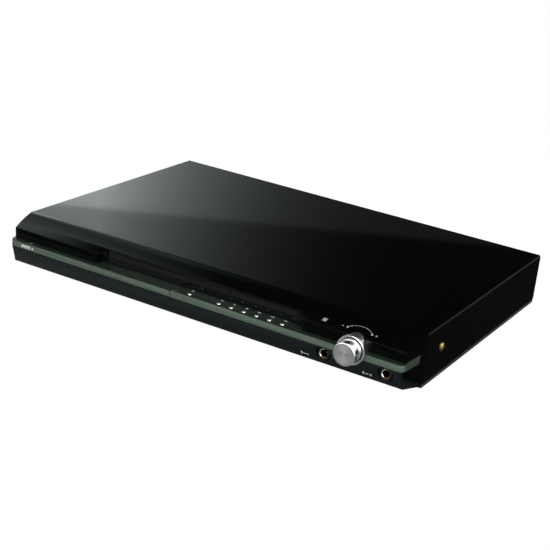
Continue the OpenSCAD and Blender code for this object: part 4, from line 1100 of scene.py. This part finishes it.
# How much of the floor's glow the camera sees, and how much shows through glass
CAMERA_SHARE, GLASS_SHARE = 0.93, 0.5
FLOOR_GLOW = 1.06

# The card: metres, and ramps as (start, stop, low, high)
CARD_SIZE, CARD_PLACE = (4.4, 2.4, 1.0), (-1.4, 2.5, 1.2)
CARD_TINT = (0.9, 1.0, 0.99, 1.0)
CARD_FADE, CARD_POWER = (-0.55, -2.1, 0.0, 1.09), 4.6
CARD_SLANT = 0.173
CARD_BRIGHT = (0.75, 0.76, 1.0, 0.58)
CARD_LEAST = (0.75, 0.76, 0.038, 0.006)
CARD_DIM = (1.2, 1.4, 1.0, 0.25)

# The world in reflections, by direction: (axis, start, stop, low, high)
FRONT = (("Y", 0.1, -0.5, 0.0, 1.0), ("X", -0.3, 0.4, 0.35, 1.4))
FRONT_RIGHT = ("X", -0.12, 0.25, 0.0, 1.3)
FAR_LEFT = (("X", -0.47, -0.68, 0.0, 0.72), ("Y", 0.48, 0.28, 0.5, 1.3))
DIFFUSE_LEVEL = 0.16

# Soft lamps that face the middle of the floor: (name, place, size, power)
LAMPS = (
    ("overhead_soft_box", (0.5, -0.6, 1.9), (1.2, 0.8), 7.0),
    ("front_soft_box", (-0.7, -2.2, 1.1), (2.4, 1.5), 27.0),
    ("right_soft_box", (2.2, -1.5, 0.7), (0.9, 0.8), 24.0),
)


class PLAYER_OT_stage(bpy.types.Operator):
    """Pale floor, studio with a lit card at the back left, soft lamps and the
    camera of the photograph"""

    bl_idname = "player.stage"
    bl_label = "Stage"

    def execute(self, context):
        self.floor()
        self.card()
        self.world(context)
        for lamp in LAMPS:
            self.soft_box(*lamp)
        self.camera(context)
        context.scene.view_settings.view_transform = "Standard"
        return {"FINISHED"}

    @staticmethod
    def floor_share(tree, rays):
        """Share of glow: nearly all for the camera, less through glass, and by
        bands in reflections."""
        spot = remap(
            tree, coordinates(tree, "Object")["Y"], BANDS_START, BANDS_START - BANDS_LENGTH
        )
        bands = add_node(tree, "ValToRGB", Fac=spot)
        stops = bands.color_ramp.elements
        for y, level in FLOOR_BANDS:
            stops.new((BANDS_START - y) / BANDS_LENGTH).color = (level, level, level, 1.0)
        for end in (0.0, 1.0):
            stops.remove(next(stop for stop in stops if stop.position == end))
        camera, glass, mirrored = (
            maths(tree, "MULTIPLY", rays["Is %s Ray" % kind], share)
            for kind, share in (
                ("Camera", CAMERA_SHARE),
                ("Transmission", GLASS_SHARE),
                ("Glossy", bands.outputs["Color"]),
            )
        )
        return maths(tree, "MAXIMUM", maths(tree, "MAXIMUM", camera, glass), mirrored)

    def floor(self):
        deselect_all()
        bpy.ops.mesh.primitive_plane_add(size=12.0, location=(0.0, 0.0, 0.0))
        floor = bpy.context.object
        floor.name = "pale_floor"
        material, shader = blank("floor_pale", 0.9, 0.0, Base_Color=(0.86, 0.86, 0.86, 1.0))
        tree = material.node_tree
        rays = tree.nodes.new("ShaderNodeLightPath").outputs
        # a reflection sees only the glow, so that gloss black stays dark
        dark = add_node(tree, "Emission", Color=(0.0, 0.0, 0.0, 1.0)).outputs["Emission"]
        under = mixed_shader(tree, rays["Is Glossy Ray"], shader.outputs["BSDF"], dark)
        glow = add_node(tree, "Emission", Strength=FLOOR_GLOW).outputs["Emission"]
        surface = mixed_shader(tree, self.floor_share(tree, rays), under, glow)
        feed(tree, tree.nodes["Material Output"].inputs["Surface"], surface)
        paint(floor, material)

    def card(self):
        """A card seen only in reflections: bright at its left, dimmer above its edge."""
        deselect_all()
        bpy.ops.mesh.primitive_plane_add(size=1.0, location=(0.0, 0.0, 0.0))
        card = bpy.context.object
        card.name = "reflected_card"
        card.scale = CARD_SIZE
        card.rotation_euler = (math.radians(90), 0.0, 0.0)
        card.location = CARD_PLACE
        apply_place(card)
        material, shader = blank("card_glow")
        tree = material.node_tree
        tree.nodes.remove(shader)
        spot = coordinates(tree, "Object")
        lit = maths(tree, "POWER", remap(tree, spot["X"], *CARD_FADE), CARD_POWER)
        # the top of the card is dim, so that the moulding's brow stays dark
        lit = maths(tree, "MULTIPLY", lit, remap(tree, spot["Z"], *CARD_DIM))
        # height above the slanted edge that shows across the cover
        height = maths(tree, "MULTIPLY_ADD", spot["X"], CARD_SLANT, spot["Z"])
        bright, least = (remap(tree, height, *ramp) for ramp in (CARD_BRIGHT, CARD_LEAST))
        level = maths(tree, "MULTIPLY_ADD", lit, bright, least)
        glow = add_node(tree, "Emission", Color=CARD_TINT, Strength=level).outputs["Emission"]
        clear = add_node(tree, "BsdfTransparent").outputs["BSDF"]
        rays = tree.nodes.new("ShaderNodeLightPath").outputs
        surface = mixed_shader(tree, rays["Is Glossy Ray"], clear, glow)
        feed(tree, tree.nodes["Material Output"].inputs["Surface"], surface)
        paint(card, material)

    @staticmethod
    def world(context):
        """White to the camera; in reflections bright in front and dark behind."""
        world = bpy.data.worlds.new("studio")
        context.scene.world = world
        world.use_nodes = True
        tree = world.node_tree
        background = tree.nodes["Background"]
        background.inputs["Color"].default_value = (1.0, 1.0, 1.0, 1.0)
        rays = tree.nodes.new("ShaderNodeLightPath").outputs
        direction = coordinates(tree, "Generated")

        def ramp(axis, *limits):
            return remap(tree, direction[axis], *limits)

        front, left = (
            maths(tree, "MULTIPLY", ramp(*first), ramp(*second))
            for first, second in (FRONT, FAR_LEFT)
        )
        front = maths(tree, "ADD", front, ramp(*FRONT_RIGHT))
        glow = maths(tree, "ADD", front, left)
        other = add_node(tree, "Mix", Factor=rays["Is Glossy Ray"], A=DIFFUSE_LEVEL, B=glow)
        level = add_node(
            tree, "Mix", Factor=rays["Is Camera Ray"], A=other.outputs["Result"], B=1.0
        )
        feed(tree, background.inputs["Strength"], level.outputs["Result"])

    @staticmethod
    def soft_box(name, place, size, power):
        lamp = bpy.data.lights.new(name, "AREA")
        lamp.shape = "RECTANGLE"
        lamp.size, lamp.size_y = size
        lamp.energy = power
        obj = bpy.data.objects.new(name, lamp)
        bpy.context.scene.collection.objects.link(obj)
        obj.location = place
        obj.rotation_mode = "QUATERNION"
        obj.rotation_quaternion = (-Vector(place)).to_track_quat("-Z", "Y")

    @staticmethod
    def camera(context):
        """Place, turn and focal length as solved from the photograph."""
        lens = bpy.data.cameras.new("photo_camera")
        lens.lens = 86.104
        lens.sensor_width = 36.0
        lens.clip_start, lens.clip_end = 0.05, 50.0
        camera = bpy.data.objects.new("photo_camera", lens)
        context.scene.collection.objects.link(camera)
        right = Vector((0.8542634, 0.5099691, 0.1008242))
        down = Vector((0.2622626, -0.2553374, -0.9306026))
        ahead = Vector((-0.4488344, 0.8214222, -0.3518712))
        turn = Matrix((right, -down, -ahead)).transposed().to_4x4()
        camera.matrix_world = Matrix.Translation(at(585.62, -956.64, 470.66)) @ turn
        context.scene.camera = camera


class PLAYER_PT_panel(bpy.types.Panel):
    """Lists the pieces of the player"""

    bl_label = "Disc player"
    bl_idname = "PLAYER_PT_panel"
    bl_space_type = "VIEW_3D"
    bl_region_type = "UI"
    bl_category = "Player"

    def draw(self, context):
        column = self.layout.column()
        for group in (context.scene.player_sizes, context.scene.player_colours):
            for label in group.__annotations__:
                column.prop(group, label)
        for operator in PIECES:
            column.operator(operator.bl_idname)


PIECES = (
    PLAYER_OT_stage,
    PLAYER_OT_case,
    PLAYER_OT_moulding,
    PLAYER_OT_ledge,
    PLAYER_OT_slot,
    PLAYER_OT_keys,
    PLAYER_OT_knob,
    PLAYER_OT_jacks,
    PLAYER_OT_marks,
    PLAYER_OT_tray,
    PLAYER_OT_drive,
    PLAYER_OT_boards,
    PLAYER_OT_sockets,
)
CLASSES = (PlayerSizes, PlayerColours) + PIECES + (PLAYER_PT_panel,)


def register():
    for item in CLASSES:
        bpy.utils.register_class(item)
    bpy.types.Scene.player_sizes = bpy.props.PointerProperty(type=PlayerSizes)
    bpy.types.Scene.player_colours = bpy.props.PointerProperty(type=PlayerColours)


def unregister():
    del bpy.types.Scene.player_colours
    del bpy.types.Scene.player_sizes
    for item in reversed(CLASSES):
        bpy.utils.unregister_class(item)


def main():
    register()
    GROUPS["Grain and mottle"] = make_grain_group()
    GROUPS["Dust and scuffs"] = make_dust_group()
    GROUPS["Brushed lines"] = make_brush_group()
    GROUPS["Spun rings"] = make_spun_group()
    GROUPS["Band along an axis"] = make_band_group()
    for operator in PIECES:
        area, name = operator.bl_idname.split(".")
        getattr(getattr(bpy.ops, area), name)()


if __name__ == "__main__":
    main()
